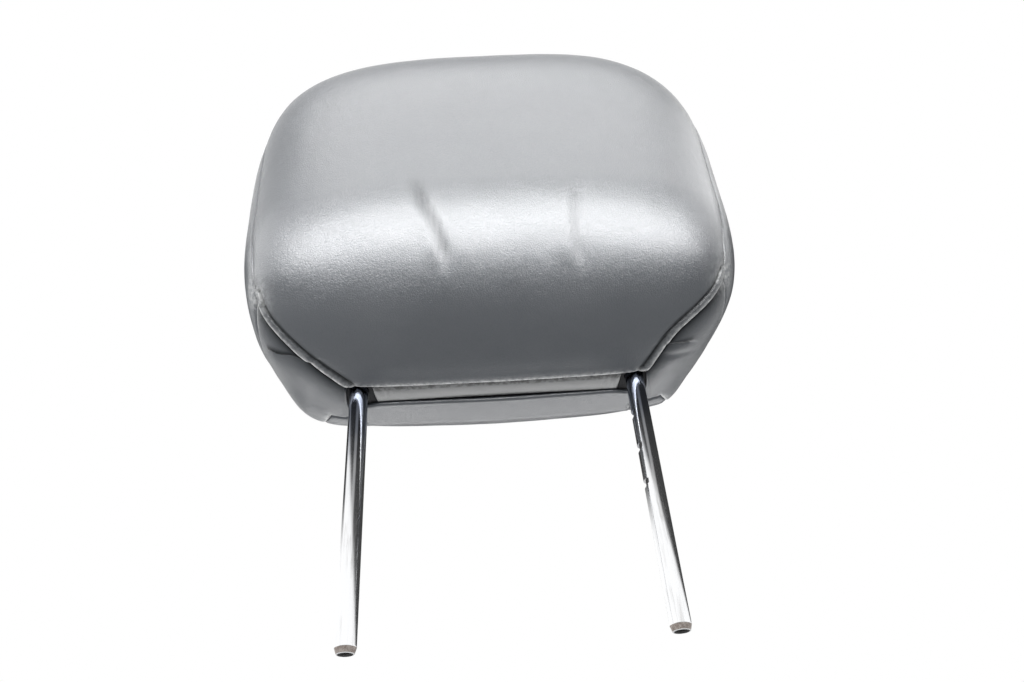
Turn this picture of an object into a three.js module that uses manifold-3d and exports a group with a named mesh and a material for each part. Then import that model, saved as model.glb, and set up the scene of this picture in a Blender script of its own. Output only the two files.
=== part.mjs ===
// Car headrest: a crowned leather cushion on one bent hollow tube, whose two posts slide
// into sleeves in the top of a seat back.
//
// Units are millimetres. +Z points up along the posts, -Y is the front that the head
// leans on, and +X is to the right as seen from the front. The origin is midway between
// the lower ends of the two posts.
//
// Build order: the tube, the stamped plate welded behind it, the foam moulded round both,
// and the sewn cover, which is one thin shell split into panels along its seams.

import * as THREE from 'three';
import * as BufferGeometryUtils from 'three/addons/utils/BufferGeometryUtils.js';
import Module from 'manifold-3d';

// Posts and tube
const POST_SPACING = 150;
const POST_DIAMETER = 10;
const POST_BORE = 5.4;
const POST_TIP_DIAMETER = 8.2;
const POST_TIP_LENGTH = 2.8;
const BORE_MOUTH_DIAMETER = 6.6;
const BORE_MOUTH_DEPTH = 0.8;
const POST_FREE_LENGTH = 134;
const TUBE_RISE_IN_PAD = 158;
const TUBE_BEND_RADIUS = 30;

// Height stops cut in the inner side of the right post
const NOTCH_COUNT = 3;
const NOTCH_PITCH = 20;
const LOWEST_NOTCH_HEIGHT = 72;
const NOTCH_DEPTH = 1.8;
const NOTCH_MOUTH = 4.2;
const NOTCH_FLOOR = 2.4;

// Stamped plate behind the tube
const PLATE_THICKNESS = 1.5;
const PLATE_HEIGHT = 100;
const PLATE_OVERHANG = 8;
const PLATE_DROP_FROM_CROSSBAR = 12;
const PLATE_CORNER_RADIUS = 12;
const PLATE_LIP = 5;
const PLATE_HOLE_WIDTH = 20;
const PLATE_HOLE_HEIGHT = 56;
const PLATE_HOLE_PITCH = 48;
const BEAD_WIDTH = 10;
const BEAD_HEIGHT = 70;
const BEAD_DEPTH = 2;

// Cushion with its cover on, measured from the post axis and from the cover's underside
const PAD_WIDTH = 278;
const PAD_HEIGHT = 222;
const PAD_FRONT_DEPTH = 79;
const PAD_REAR_DEPTH = 40;
const WIDEST_RISE = 89;
const WIDEST_AHEAD = 12;
const FOREMOST_RISE = 81;
const UNDERSIDE_MARGIN = 3.5;
const UNDERSIDE_FRONT = 7;
const UNDERSIDE_REAR = 38.5;
const REAR_FOLD_RADIUS = 3.5;
const CHIN_HEIGHT = 46;
const FRONT_LEAN = 1.5;
const REAR_LEAN = 10;

// How full the cushion's curves are: 2 is an ellipse, and a higher power is squarer
const FRONT_POWER = 3;
const REAR_POWER = 4.5;
const CROWN_POWER = 3.9;
const CHIN_POWER = 1.8;
const TOP_ROUND_POWER = 7;
const TOP_ROUND_ROOT = 0.45;

// Cover and closure
const COVER_THICKNESS = 2.2;
const CLEARANCE = 0.3;
const SLOT_WIDTH = 15;
const SLOT_REAR = 13;
const RELIEF_OFFSET = 3.5;
const RELIEF_WIDTH = 4.5;
const RELIEF_RISE = 7;
const FLAP_END_SLANT = 4;
const FLAP_REAR_EDGE = 10;
const FLAP_THICKNESS = 1.6;
const FLAP_RECESS = 1.2;
const HOOK_LENGTH = 126;
const HOOK_THICKNESS = 1.2;
const HOOK_BASE = 11;
const HOOK_RISE = 6;
const HOOK_LIP = 4;
const HOOK_BARB = 4.5;

// Facets
const PAD_COLUMNS = 44;
const PAD_RINGS = 22;
const TUBE_SIDES = 20;
const BEND_STEPS = 6;
const SEAM_STEPS = 4;
const FLAP_STEPS = 8;
const SURFACE_HALVINGS = 30;
const TOP_GAP_SHARE = 0.9;

// How far a cutting shape reaches past the face that it cuts
const OVERCUT = 1;

// Sizes that follow from the ones above
const POST_X = POST_SPACING / 2;
const POST_RADIUS = POST_DIAMETER / 2;
const PAD_BOTTOM = POST_FREE_LENGTH;
const PAD_TOP = PAD_BOTTOM + PAD_HEIGHT;
const PAD_HALF_WIDTH = PAD_WIDTH / 2;
const SLOT_INNER_X = POST_X - SLOT_WIDTH / 2;
const SLOT_OUTER_X = POST_X + SLOT_WIDTH / 2;
const UNDERSIDE_WIDTH = 2 * (SLOT_OUTER_X + UNDERSIDE_MARGIN);
const CROSSBAR_HEIGHT = PAD_BOTTOM + TUBE_RISE_IN_PAD;
const COVER_INSIDE = PAD_BOTTOM + COVER_THICKNESS;
const PLATE_TOP = CROSSBAR_HEIGHT - PLATE_DROP_FROM_CROSSBAR;
const PLATE_FRONT = POST_RADIUS + CLEARANCE;
const PLATE_HALF_WIDTH = POST_X + PLATE_OVERHANG;
const PAD_MIDDLE = new THREE.Vector3(0, 0, PAD_BOTTOM + PAD_HEIGHT / 2);

const wasm = await Module();
wasm.setup();

// Solids are joined and cut as manifolds and turned back into meshes at the end.
function toSolid(geometry) {
  const bare = geometry.clone();
  bare.deleteAttribute('normal');
  bare.deleteAttribute('uv');
  const merged = BufferGeometryUtils.mergeVertices(bare, 1e-4);
  return new wasm.Manifold(new wasm.Mesh({
    numProp: 3,
    vertProperties: new Float32Array(merged.getAttribute('position').array),
    triVerts: new Uint32Array(merged.getIndex().array),
  }));
}

function toGeometry(solid) {
  const mesh = solid.getMesh();
  const geometry = new THREE.BufferGeometry();
  geometry.setAttribute('position', new THREE.BufferAttribute(mesh.vertProperties, 3));
  geometry.setIndex(new THREE.BufferAttribute(mesh.triVerts, 1));
  geometry.computeVertexNormals();
  return geometry;
}

// Builds a closed mesh from points and triangles, with its faces turned outwards.
function closedGeometry(points, triangles) {
  let volume = 0;
  for (const [a, b, c] of triangles) {
    volume += points[a].dot(new THREE.Vector3().crossVectors(points[b], points[c]));
  }
  const index = triangles.flatMap(([a, b, c]) => (volume > 0 ? [a, b, c] : [a, c, b]));
  const geometry = new THREE.BufferGeometry().setFromPoints(points);
  geometry.setIndex(index);
  return geometry;
}

// Joins equal rings of points, in order, by bands of triangles, and closes each end by a
// fan.
function loft(rings) {
  const sides = rings[0].length;
  const points = rings.flat();
  const triangles = [];
  for (let band = 0; band < rings.length - 1; band += 1) {
    const lower = band * sides;
    const upper = lower + sides;
    for (let side = 0; side < sides; side += 1) {
      const next = (side + 1) % sides;
      triangles.push([lower + side, lower + next, upper + next]);
      triangles.push([lower + side, upper + next, upper + side]);
    }
  }
  for (const first of [0, (rings.length - 1) * sides]) {
    const centre = new THREE.Vector3();
    for (let side = 0; side < sides; side += 1) {
      centre.addScaledVector(points[first + side], 1 / sides);
    }
    points.push(centre);
    for (let side = 0; side < sides; side += 1) {
      const next = (side + 1) % sides;
      const fan = [points.length - 1, first + side, first + next];
      triangles.push(first === 0 ? [fan[0], fan[2], fan[1]] : fan);
    }
  }
  return closedGeometry(points, triangles);
}

function smoothStep(value) {
  const t = THREE.MathUtils.clamp(value, 0, 1);
  return t * t * (3 - 2 * t);
}

function box(left, right, front, rear, bottom, top) {
  const block = new THREE.BoxGeometry(right - left, rear - front, top - bottom);
  block.translate((left + right) / 2, (front + rear) / 2, (bottom + top) / 2);
  return toSolid(block);
}

// Stations along the middle of the tube: up the left leg, round two bends and down the
// right leg. Each station has a place and the direction in which the tube runs there.
function tubeStations(endHeights) {
  const bendHeight = CROSSBAR_HEIGHT - TUBE_BEND_RADIUS;
  const bendX = POST_X - TUBE_BEND_RADIUS;
  const up = new THREE.Vector3(0, 0, 1);
  const down = new THREE.Vector3(0, 0, -1);
  const stations = endHeights.map((z) => ({ at: new THREE.Vector3(-POST_X, 0, z), along: up }));
  for (const side of [-1, 1]) {
    for (let step = 0; step <= BEND_STEPS; step += 1) {
      const turn = (Math.PI / 2) * (step / BEND_STEPS) + (side > 0 ? Math.PI / 2 : 0);
      stations.push({
        at: new THREE.Vector3(
          side * bendX - TUBE_BEND_RADIUS * Math.cos(turn),
          0,
          bendHeight + TUBE_BEND_RADIUS * Math.sin(turn),
        ),
        along: new THREE.Vector3(Math.sin(turn), 0, Math.cos(turn)),
      });
    }
  }
  const lastLeg = endHeights.slice().reverse();
  return stations.concat(
    lastLeg.map((z) => ({ at: new THREE.Vector3(POST_X, 0, z), along: down })),
  );
}

function tubeRings(stations, radii) {
  return stations.map(({ at, along }, index) => {
    const sideways = new THREE.Vector3(along.z, 0, -along.x);
    const ring = [];
    for (let side = 0; side < TUBE_SIDES; side += 1) {
      const turn = (2 * Math.PI * (side + 0.5)) / TUBE_SIDES;
      ring.push(at.clone()
        .addScaledVector(sideways, radii[index] * Math.cos(turn))
        .add(new THREE.Vector3(0, radii[index] * Math.sin(turn), 0)));
    }
    return ring;
  });
}

// One radius for every station, apart from those listed for each end of the tube.
function endedRadii(stations, radius, endRadii) {
  return stations.map((_, index) => {
    const fromEnd = Math.min(index, stations.length - 1 - index);
    return fromEnd < endRadii.length ? endRadii[fromEnd] : radius;
  });
}

// The tube itself: a skin that narrows to each tip, less a bore with a wider mouth.
function makePostFrame() {
  const skinStations = tubeStations([0, POST_TIP_LENGTH]);
  const skinRadii = endedRadii(skinStations, POST_RADIUS, [POST_TIP_DIAMETER / 2]);
  const boreStations = tubeStations([-OVERCUT, 0, BORE_MOUTH_DEPTH]);
  const mouthRadius = BORE_MOUTH_DIAMETER / 2;
  const boreRadii = endedRadii(boreStations, POST_BORE / 2, [mouthRadius, mouthRadius]);
  const skin = toSolid(loft(tubeRings(skinStations, skinRadii)));
  let tube = skin.subtract(toSolid(loft(tubeRings(boreStations, boreRadii))));
  for (let notch = 0; notch < NOTCH_COUNT; notch += 1) {
    tube = tube.subtract(notchCutter(LOWEST_NOTCH_HEIGHT + notch * NOTCH_PITCH));
  }
  return tube;
}

// A wedge whose lower side slopes and whose upper side is square to the post.
function notchCutter(height) {
  const face = POST_X - POST_RADIUS;
  const ceiling = height + NOTCH_MOUTH / 2;
  const profile = new THREE.Shape();
  profile.moveTo(face - OVERCUT, ceiling);
  profile.lineTo(face - OVERCUT, height - NOTCH_MOUTH / 2 - OVERCUT);
  profile.lineTo(face, height - NOTCH_MOUTH / 2);
  profile.lineTo(face + NOTCH_DEPTH, ceiling - NOTCH_FLOOR);
  profile.lineTo(face + NOTCH_DEPTH, ceiling);
  return extrudeAlongY(profile, -POST_RADIUS, POST_RADIUS);
}

// Extrudes an outline drawn in x and z from one depth to another.
function extrudeAlongY(outline, front, rear) {
  const block = new THREE.ExtrudeGeometry(outline, {
    depth: rear - front, bevelEnabled: false, curveSegments: 5,
  });
  block.rotateX(Math.PI / 2);
  block.translate(0, rear, 0);
  return toSolid(block);
}

// Extrudes an outline drawn in y and z to both sides of the middle plane.
function extrudeAlongX(corners, length) {
  const outline = new THREE.Shape(corners.map(([y, z]) => new THREE.Vector2(y, z)));
  const strip = new THREE.ExtrudeGeometry(outline, { depth: length, bevelEnabled: false });
  strip.translate(0, 0, -length / 2);
  strip.applyMatrix4(new THREE.Matrix4().makeBasis(
    new THREE.Vector3(0, 1, 0),
    new THREE.Vector3(0, 0, 1),
    new THREE.Vector3(1, 0, 0),
  ));
  return strip;
}

// The outline of the plate, or of a long hole, with its corners or ends rounded.
function roundedOutline(halfWidth, bottom, top, radius, centreX = 0) {
  const outline = new THREE.Shape();
  const left = centreX - halfWidth;
  const right = centreX + halfWidth;
  outline.moveTo(left + radius, bottom);
  outline.absarc(right - radius, bottom + radius, radius, -Math.PI / 2, 0);
  outline.absarc(right - radius, top - radius, radius, 0, Math.PI / 2);
  outline.absarc(left + radius, top - radius, radius, Math.PI / 2, Math.PI);
  outline.absarc(left + radius, bottom + radius, radius, Math.PI, Math.PI * 1.5);
  return outline;
}

// The plate lies against the back of both legs. Its upper and lower edges are turned to
// the rear, and two hollow beads stiffen it between three long holes.
function makeArmaturePlate() {
  const top = PLATE_TOP;
  const bottom = top - PLATE_HEIGHT;
  const middle = (top + bottom) / 2;
  const front = PLATE_FRONT;
  const rear = front + PLATE_THICKNESS;
  const outline = roundedOutline(PLATE_HALF_WIDTH, bottom, top, PLATE_CORNER_RADIUS);
  let plate = extrudeAlongY(outline, front, rear);
  const lipReach = PLATE_HALF_WIDTH - PLATE_CORNER_RADIUS;
  for (const edge of [bottom, top - PLATE_THICKNESS]) {
    plate = plate.add(
      box(-lipReach, lipReach, front, front + PLATE_LIP, edge, edge + PLATE_THICKNESS),
    );
  }
  for (const step of [-0.5, 0.5]) {
    const x = step * PLATE_HOLE_PITCH;
    const wall = PLATE_THICKNESS;
    const low = middle - BEAD_HEIGHT / 2;
    const high = middle + BEAD_HEIGHT / 2;
    const half = BEAD_WIDTH / 2;
    const outside = roundedOutline(half, low, high, half, x);
    const inside = roundedOutline(half - wall, low + wall, high - wall, half - wall, x);
    plate = plate.add(extrudeAlongY(outside, front, rear + BEAD_DEPTH));
    plate = plate.subtract(extrudeAlongY(inside, front - OVERCUT, front + BEAD_DEPTH));
  }
  for (const step of [-1, 0, 1]) {
    const half = PLATE_HOLE_WIDTH / 2;
    const hole = roundedOutline(
      half,
      middle - PLATE_HOLE_HEIGHT / 2,
      middle + PLATE_HOLE_HEIGHT / 2,
      half,
      step * PLATE_HOLE_PITCH,
    );
    plate = plate.subtract(extrudeAlongY(hole, front - OVERCUT, rear + OVERCUT));
  }
  return plate;
}

// The cushion's level section at a height: its half width, where its front and rear lie,
// and where between them it is widest.
function padSection(z) {
  const rise = z - PAD_BOTTOM;
  const widestBand = WIDEST_RISE / Math.cbrt(1 - (UNDERSIDE_WIDTH / PAD_WIDTH) ** 3);
  const below = THREE.MathUtils.clamp((WIDEST_RISE - rise) / widestBand, 0, 1);
  const above = THREE.MathUtils.clamp((rise - WIDEST_RISE) / (PAD_HEIGHT - WIDEST_RISE), 0, 1);
  const halfWidth = PAD_HALF_WIDTH * (rise > WIDEST_RISE
    ? (1 - above ** CROWN_POWER) ** (1 / CROWN_POWER)
    : Math.cbrt(1 - below ** 3));
  const low = THREE.MathUtils.clamp((FOREMOST_RISE - rise) / FOREMOST_RISE, 0, 1);
  const high = THREE.MathUtils.clamp((rise - FOREMOST_RISE) / (PAD_HEIGHT - FOREMOST_RISE), 0, 1);
  const front = UNDERSIDE_FRONT - FRONT_LEAN * high ** 1.5
    + (PAD_FRONT_DEPTH - UNDERSIDE_FRONT) * (1 - low ** CHIN_POWER) ** (1 / CHIN_POWER);
  const fold = Math.max(REAR_FOLD_RADIUS - rise, 0);
  const tuck = REAR_FOLD_RADIUS - Math.sqrt(REAR_FOLD_RADIUS ** 2 - fold ** 2);
  const rear = UNDERSIDE_REAR - REAR_LEAN * high ** 2 - tuck
    + (PAD_REAR_DEPTH - UNDERSIDE_REAR) * smoothStep(1 - low);
  const restMiddle = (UNDERSIDE_REAR - UNDERSIDE_FRONT) / 2;
  const middle = restMiddle - (restMiddle + WIDEST_AHEAD) * smoothStep(rise / CHIN_HEIGHT);
  const closing = (1 - high ** TOP_ROUND_POWER) ** TOP_ROUND_ROOT;
  return {
    halfWidth,
    middle,
    front: middle - (front + middle) * closing,
    rear: middle + (rear - middle) * closing,
  };
}

// One ring of the cushion's surface, moved inwards by the inset. The front half of each
// ring is fuller than an ellipse, and the rear half is fuller still.
function padRing(share, inset) {
  const section = padSection(THREE.MathUtils.lerp(PAD_BOTTOM, PAD_TOP, share));
  const z = THREE.MathUtils.lerp(PAD_BOTTOM + inset, PAD_TOP - inset, share);
  const ring = [];
  for (let column = 0; column < PAD_COLUMNS; column += 1) {
    const turn = (2 * Math.PI * (column + 0.5)) / PAD_COLUMNS;
    const facesFront = Math.cos(turn) > 0;
    const power = 2 / (facesFront ? FRONT_POWER : REAR_POWER);
    const across = Math.sign(Math.sin(turn)) * Math.abs(Math.sin(turn)) ** power;
    const along = Math.abs(Math.cos(turn)) ** power;
    const edge = facesFront ? section.front + inset : section.rear - inset;
    ring.push(new THREE.Vector3(
      (section.halfWidth - inset) * across,
      section.middle + (edge - section.middle) * along,
      z,
    ));
  }
  return ring;
}

// The rings lie closer together near the underside and the top. The last one stops a
// little short of the very top, where a ring would shrink to a line.
function makePad(inset) {
  const shortOfTop = PAD_RINGS - TOP_GAP_SHARE;
  const rings = [];
  for (let ring = 0; ring < PAD_RINGS; ring += 1) {
    rings.push(padRing((1 - Math.cos((Math.PI * ring) / shortOfTop)) / 2, inset));
  }
  return toSolid(loft(rings));
}

// True for a point inside the cushion's outer surface.
function isInsidePad(point) {
  if (point.z < PAD_BOTTOM || point.z > PAD_TOP) {
    return false;
  }
  const section = padSection(point.z);
  const facesFront = point.y < section.middle;
  const power = facesFront ? FRONT_POWER : REAR_POWER;
  const depth = Math.abs((facesFront ? section.front : section.rear) - section.middle);
  const across = Math.abs(point.x) / section.halfWidth;
  const along = Math.abs(point.y - section.middle) / depth;
  return across ** power + along ** power < 1;
}

// The point where a ray from the cushion's middle towards a place leaves the cushion.
function onPadSurface(place) {
  const away = place.clone().sub(PAD_MIDDLE).normalize();
  let inside = 0;
  let outside = PAD_WIDTH + PAD_HEIGHT;
  for (let halving = 0; halving < SURFACE_HALVINGS; halving += 1) {
    const reach = (inside + outside) / 2;
    if (isInsidePad(PAD_MIDDLE.clone().addScaledVector(away, reach))) {
      inside = reach;
    } else {
      outside = reach;
    }
  }
  return PAD_MIDDLE.clone().addScaledVector(away, inside);
}

// A place on the cushion given by shares of its half width, its depth and its height.
function padPlace(across, back, up) {
  const depth = back < 0 ? PAD_FRONT_DEPTH : PAD_REAR_DEPTH;
  return new THREE.Vector3(
    across * PAD_HALF_WIDTH,
    back * depth,
    PAD_BOTTOM + up * PAD_HEIGHT,
  );
}

function seamThrough(places) {
  const curve = new THREE.CatmullRomCurve3(places, false, 'centripetal');
  return curve.getPoints(SEAM_STEPS * (places.length - 1)).map(onPadSurface);
}

// Seams on the right half. The lower one runs from the post slot up to the corner, the
// side one from there over the top to the middle of the back, and the insert one from the
// corner to the back and down round to the hem.
const SLOT_OUTER_CORNER = new THREE.Vector3(SLOT_OUTER_X, -UNDERSIDE_FRONT, PAD_BOTTOM);
const SEAM_CORNER = padPlace(0.906, -0.506, 0.171);
const LOWER_SEAM = seamThrough([
  SLOT_OUTER_CORNER,
  padPlace(0.72, -0.33, 0.036),
  padPlace(0.87, -0.456, 0.126),
  SEAM_CORNER,
]);
const SIDE_SEAM = seamThrough([
  SEAM_CORNER,
  padPlace(0.914, -0.62, 0.252),
  padPlace(0.928, -0.658, 0.446),
  padPlace(0.942, -0.595, 0.658),
  padPlace(0.87, -0.38, 0.829),
  padPlace(0.8, 0.25, 0.905),
  padPlace(0.66, 0.625, 0.93),
  padPlace(0.36, 0.69, 0.938),
  padPlace(0, 0.7, 0.94),
]);
const INSERT_SEAM = seamThrough([
  SEAM_CORNER,
  padPlace(0.924, -0.2, 0.14),
  padPlace(0.925, 0.2, 0.138),
  padPlace(0.885, 0.62, 0.105),
  padPlace(0.79, 0.82, 0.055),
  padPlace(0.715, 0.76, 0.02),
  padPlace(0.676, 0.525, 0.005),
]);

function mirrored(points) {
  return points.map((point) => new THREE.Vector3(-point.x, point.y, point.z));
}

// The wedge of space that a closed seam cuts out, seen from the cushion's middle and well
// past its surface. The seam is first moved outwards by the spread, square to the wall that
// it cuts.
function seamWedge(loop, spread) {
  const rays = loop.map((point) => point.clone().sub(PAD_MIDDLE));
  const heading = rays.reduce((sum, ray) => sum.add(ray), new THREE.Vector3()).normalize();
  const sideways = rays.map((ray, index) => {
    const before = rays[(index + rays.length - 1) % rays.length];
    const after = rays[(index + 1) % rays.length];
    return after.clone().sub(before).cross(ray).normalize();
  });
  const inwards = sideways.reduce((sum, side) => sum + side.dot(heading), 0) > 0;
  const shift = inwards ? -spread : spread;
  const farOutside = PAD_WIDTH + PAD_HEIGHT;
  const reach = farOutside / (PAD_HEIGHT / 2);
  const points = rays.map((ray, index) => (
    ray.clone().addScaledVector(sideways[index], shift).multiplyScalar(reach).add(PAD_MIDDLE)));
  points.push(PAD_MIDDLE.clone());
  points.push(heading.multiplyScalar(farOutside).add(PAD_MIDDLE));
  const triangles = rays.flatMap((_, index) => {
    const next = (index + 1) % rays.length;
    return [[index, next, rays.length], [next, index, rays.length + 1]];
  });
  return toSolid(closedGeometry(points, triangles));
}

// Cuts through the cover's underside where the posts come out, and the slits behind them
// that free the tongue of the rear panel.
function makeSlots() {
  const below = PAD_BOTTOM - OVERCUT;
  const above = COVER_INSIDE + COVER_THICKNESS;
  const half = SLOT_WIDTH / 2;
  let cutter = null;
  for (const side of [-1, 1]) {
    const x = side * POST_X;
    const slot = box(x - half, x + half, -UNDERSIDE_FRONT, SLOT_REAR, below, above);
    const slitX = x + side * RELIEF_OFFSET;
    const slit = box(
      slitX - RELIEF_WIDTH / 2,
      slitX + RELIEF_WIDTH / 2,
      SLOT_REAR - OVERCUT,
      PAD_REAR_DEPTH,
      below,
      PAD_BOTTOM + RELIEF_RISE,
    );
    cutter = cutter ? cutter.add(slot) : slot;
    cutter = cutter.add(slit);
  }
  return cutter;
}

// The sewn cover: one shell over the cushion, split into its panels.
function makeCover() {
  const shell = makePad(0).subtract(makePad(COVER_THICKNESS));
  const rightRim = [...LOWER_SEAM, ...SIDE_SEAM.slice(1)];
  const frontLoop = [...rightRim, ...mirrored(rightRim.slice(0, -1)).reverse()];
  const hem = INSERT_SEAM[INSERT_SEAM.length - 1];
  const insertLoop = [
    ...LOWER_SEAM,
    ...INSERT_SEAM.slice(1),
    new THREE.Vector3(SLOT_OUTER_CORNER.x, hem.y, PAD_BOTTOM),
  ];
  const half = CLEARANCE / 2;
  const slots = makeSlots();
  const opening = box(
    -SLOT_OUTER_CORNER.x,
    SLOT_OUTER_CORNER.x,
    -UNDERSIDE_FRONT - OVERCUT,
    FLAP_REAR_EDGE + CLEARANCE,
    PAD_BOTTOM - OVERCUT,
    COVER_INSIDE + COVER_THICKNESS,
  );
  const front = shell.intersect(seamWedge(frontLoop, -half));
  const insertRight = shell.intersect(seamWedge(insertLoop, -half)).subtract(slots);
  const insertLeft = shell.intersect(seamWedge(mirrored(insertLoop), -half)).subtract(slots);
  const rear = shell
    .subtract(seamWedge(frontLoop, half))
    .subtract(seamWedge(insertLoop, half))
    .subtract(seamWedge(mirrored(insertLoop), half))
    .subtract(opening)
    .subtract(slots);
  return { front, rear, insertLeft, insertRight };
}

// The strip sewn under the edge of the front panel, with slanted ends between the posts.
// It starts above that edge and swells down to the level of the underside.
function makeClosureFlap() {
  const front = CLEARANCE - UNDERSIDE_FRONT;
  const rear = FLAP_REAR_EDGE;
  const lower = [];
  for (let step = 0; step <= FLAP_STEPS; step += 1) {
    const share = step / FLAP_STEPS;
    lower.push([
      THREE.MathUtils.lerp(front, rear, share),
      PAD_BOTTOM + FLAP_RECESS * (1 - share) ** 2,
    ]);
  }
  const upper = lower.map(([y, z]) => [y, z + FLAP_THICKNESS]).reverse();
  const strip = toSolid(extrudeAlongX([...lower, ...upper], 2 * SLOT_INNER_X));
  const ends = new THREE.Shape();
  ends.moveTo(-SLOT_INNER_X, front - OVERCUT);
  ends.lineTo(SLOT_INNER_X, front - OVERCUT);
  ends.lineTo(SLOT_INNER_X - FLAP_END_SLANT, rear + OVERCUT);
  ends.lineTo(-SLOT_INNER_X + FLAP_END_SLANT, rear + OVERCUT);
  const between = new THREE.ExtrudeGeometry(ends, { depth: PAD_HEIGHT, bevelEnabled: false });
  return strip.intersect(toSolid(between.translate(0, 0, PAD_BOTTOM - OVERCUT)));
}

// The plastic strip inside the flap: a base, a wall and a lip that points forwards.
function makeFrontHook() {
  const base = COVER_INSIDE + CLEARANCE;
  const wallRear = FLAP_REAR_EDGE;
  const wallFront = wallRear - HOOK_THICKNESS;
  const top = base + HOOK_RISE;
  return toSolid(extrudeAlongX([
    [wallRear - HOOK_BASE, base],
    [wallRear, base],
    [wallRear, top],
    [wallRear - HOOK_LIP, top],
    [wallRear - HOOK_LIP, top - HOOK_THICKNESS],
    [wallFront, top - HOOK_THICKNESS],
    [wallFront, base + HOOK_THICKNESS],
    [wallRear - HOOK_BASE, base + HOOK_THICKNESS],
  ], HOOK_LENGTH));
}

// Its mate on the tongue of the rear panel reaches over that lip and down in front of it.
function makeRearHook() {
  const base = COVER_INSIDE + CLEARANCE;
  const wallFront = FLAP_REAR_EDGE + CLEARANCE;
  const wallRear = wallFront + HOOK_THICKNESS;
  const ceiling = base + HOOK_RISE + CLEARANCE;
  const top = ceiling + HOOK_THICKNESS;
  const barbRear = FLAP_REAR_EDGE - HOOK_LIP - CLEARANCE;
  const barbFront = barbRear - HOOK_THICKNESS;
  return toSolid(extrudeAlongX([
    [wallFront, base],
    [wallFront + HOOK_BASE, base],
    [wallFront + HOOK_BASE, base + HOOK_THICKNESS],
    [wallRear, base + HOOK_THICKNESS],
    [wallRear, top],
    [barbFront, top],
    [barbFront, top - HOOK_BARB],
    [barbRear, top - HOOK_BARB],
    [barbRear, ceiling],
    [wallFront, ceiling],
  ], HOOK_LENGTH));
}

// The foam fills the cover, less the room for the tube, the plate, the hooks and the flap.
function makeFoam() {
  const room = tubeStations([PAD_BOTTOM - OVERCUT]);
  const roomRadii = room.map(() => POST_RADIUS + CLEARANCE);
  const tubeRoom = toSolid(loft(tubeRings(room, roomRadii)));
  const plateRoom = extrudeAlongY(
    roundedOutline(
      PLATE_HALF_WIDTH + CLEARANCE,
      PLATE_TOP - PLATE_HEIGHT - CLEARANCE,
      PLATE_TOP + CLEARANCE,
      PLATE_CORNER_RADIUS,
    ),
    POST_RADIUS - CLEARANCE,
    PLATE_FRONT + PLATE_LIP + CLEARANCE,
  );
  const hookRoom = box(
    -HOOK_LENGTH / 2 - CLEARANCE,
    HOOK_LENGTH / 2 + CLEARANCE,
    FLAP_REAR_EDGE - HOOK_BASE - CLEARANCE,
    FLAP_REAR_EDGE + HOOK_BASE + 2 * CLEARANCE,
    PAD_BOTTOM,
    COVER_INSIDE + HOOK_RISE + HOOK_THICKNESS + 3 * CLEARANCE,
  );
  const flapRoom = box(
    -SLOT_INNER_X - CLEARANCE,
    SLOT_INNER_X + CLEARANCE,
    -UNDERSIDE_FRONT - CLEARANCE,
    FLAP_REAR_EDGE,
    PAD_BOTTOM,
    PAD_BOTTOM + FLAP_RECESS + FLAP_THICKNESS + CLEARANCE,
  );
  return makePad(COVER_THICKNESS + CLEARANCE)
    .subtract(tubeRoom)
    .subtract(plateRoom)
    .subtract(hookRoom)
    .subtract(flapRoom);
}

const leather = { color: 0x24272b, roughness: 0.42, metalness: 0 };
const cover = makeCover();
const pieces = [
  ['post_frame', makePostFrame(), { color: 0xc9cbcc, roughness: 0.12, metalness: 1 }],
  ['armature_plate', makeArmaturePlate(), { color: 0x3b3d40, roughness: 0.55, metalness: 0.8 }],
  ['foam_cushion', makeFoam(), { color: 0x333436, roughness: 0.95, metalness: 0 }],
  ['front_panel', cover.front, leather],
  ['rear_panel', cover.rear, leather],
  ['side_insert_left', cover.insertLeft, leather],
  ['side_insert_right', cover.insertRight, leather],
  ['closure_flap', makeClosureFlap(), { color: 0x3c3d3c, roughness: 0.6, metalness: 0 }],
  ['closure_hook_front', makeFrontHook(), { color: 0x1b1b1c, roughness: 0.5, metalness: 0 }],
  ['closure_hook_rear', makeRearHook(), { color: 0x1b1b1c, roughness: 0.5, metalness: 0 }],
];

const headrest = new THREE.Group();
headrest.name = 'car_headrest';
for (const [name, solid, look] of pieces) {
  const mesh = new THREE.Mesh(toGeometry(solid), new THREE.MeshStandardMaterial(look));
  mesh.name = name;
  headrest.add(mesh);
}

export default headrest;
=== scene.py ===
# Car headrest: the looks of the sewn leather cushion and of its chromed tube.
#
# Lengths are in millimetres up to the point where a mesh is made, and in metres from there
# on. +Z points up along the posts, -Y is the front that the head leans on, and +X is to the
# right as seen from the front.

import math

import bmesh
import bpy
import numpy as np
from mathutils import Matrix, Vector, noise
from mathutils.kdtree import KDTree


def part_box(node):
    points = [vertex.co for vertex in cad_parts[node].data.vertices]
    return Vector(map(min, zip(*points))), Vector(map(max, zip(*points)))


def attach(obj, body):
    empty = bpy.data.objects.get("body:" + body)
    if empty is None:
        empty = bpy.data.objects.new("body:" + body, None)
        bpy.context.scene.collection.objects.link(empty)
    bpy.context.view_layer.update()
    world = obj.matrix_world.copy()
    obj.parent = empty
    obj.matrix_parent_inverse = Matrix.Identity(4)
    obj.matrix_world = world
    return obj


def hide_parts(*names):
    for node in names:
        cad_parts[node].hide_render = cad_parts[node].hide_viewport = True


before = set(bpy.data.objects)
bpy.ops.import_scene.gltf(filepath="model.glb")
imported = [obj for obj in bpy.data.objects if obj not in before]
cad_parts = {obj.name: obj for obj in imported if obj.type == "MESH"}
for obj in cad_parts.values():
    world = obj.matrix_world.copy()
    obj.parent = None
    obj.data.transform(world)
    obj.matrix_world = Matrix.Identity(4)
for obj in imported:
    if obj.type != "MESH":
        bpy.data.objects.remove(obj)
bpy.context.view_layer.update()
MM = 0.001
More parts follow.
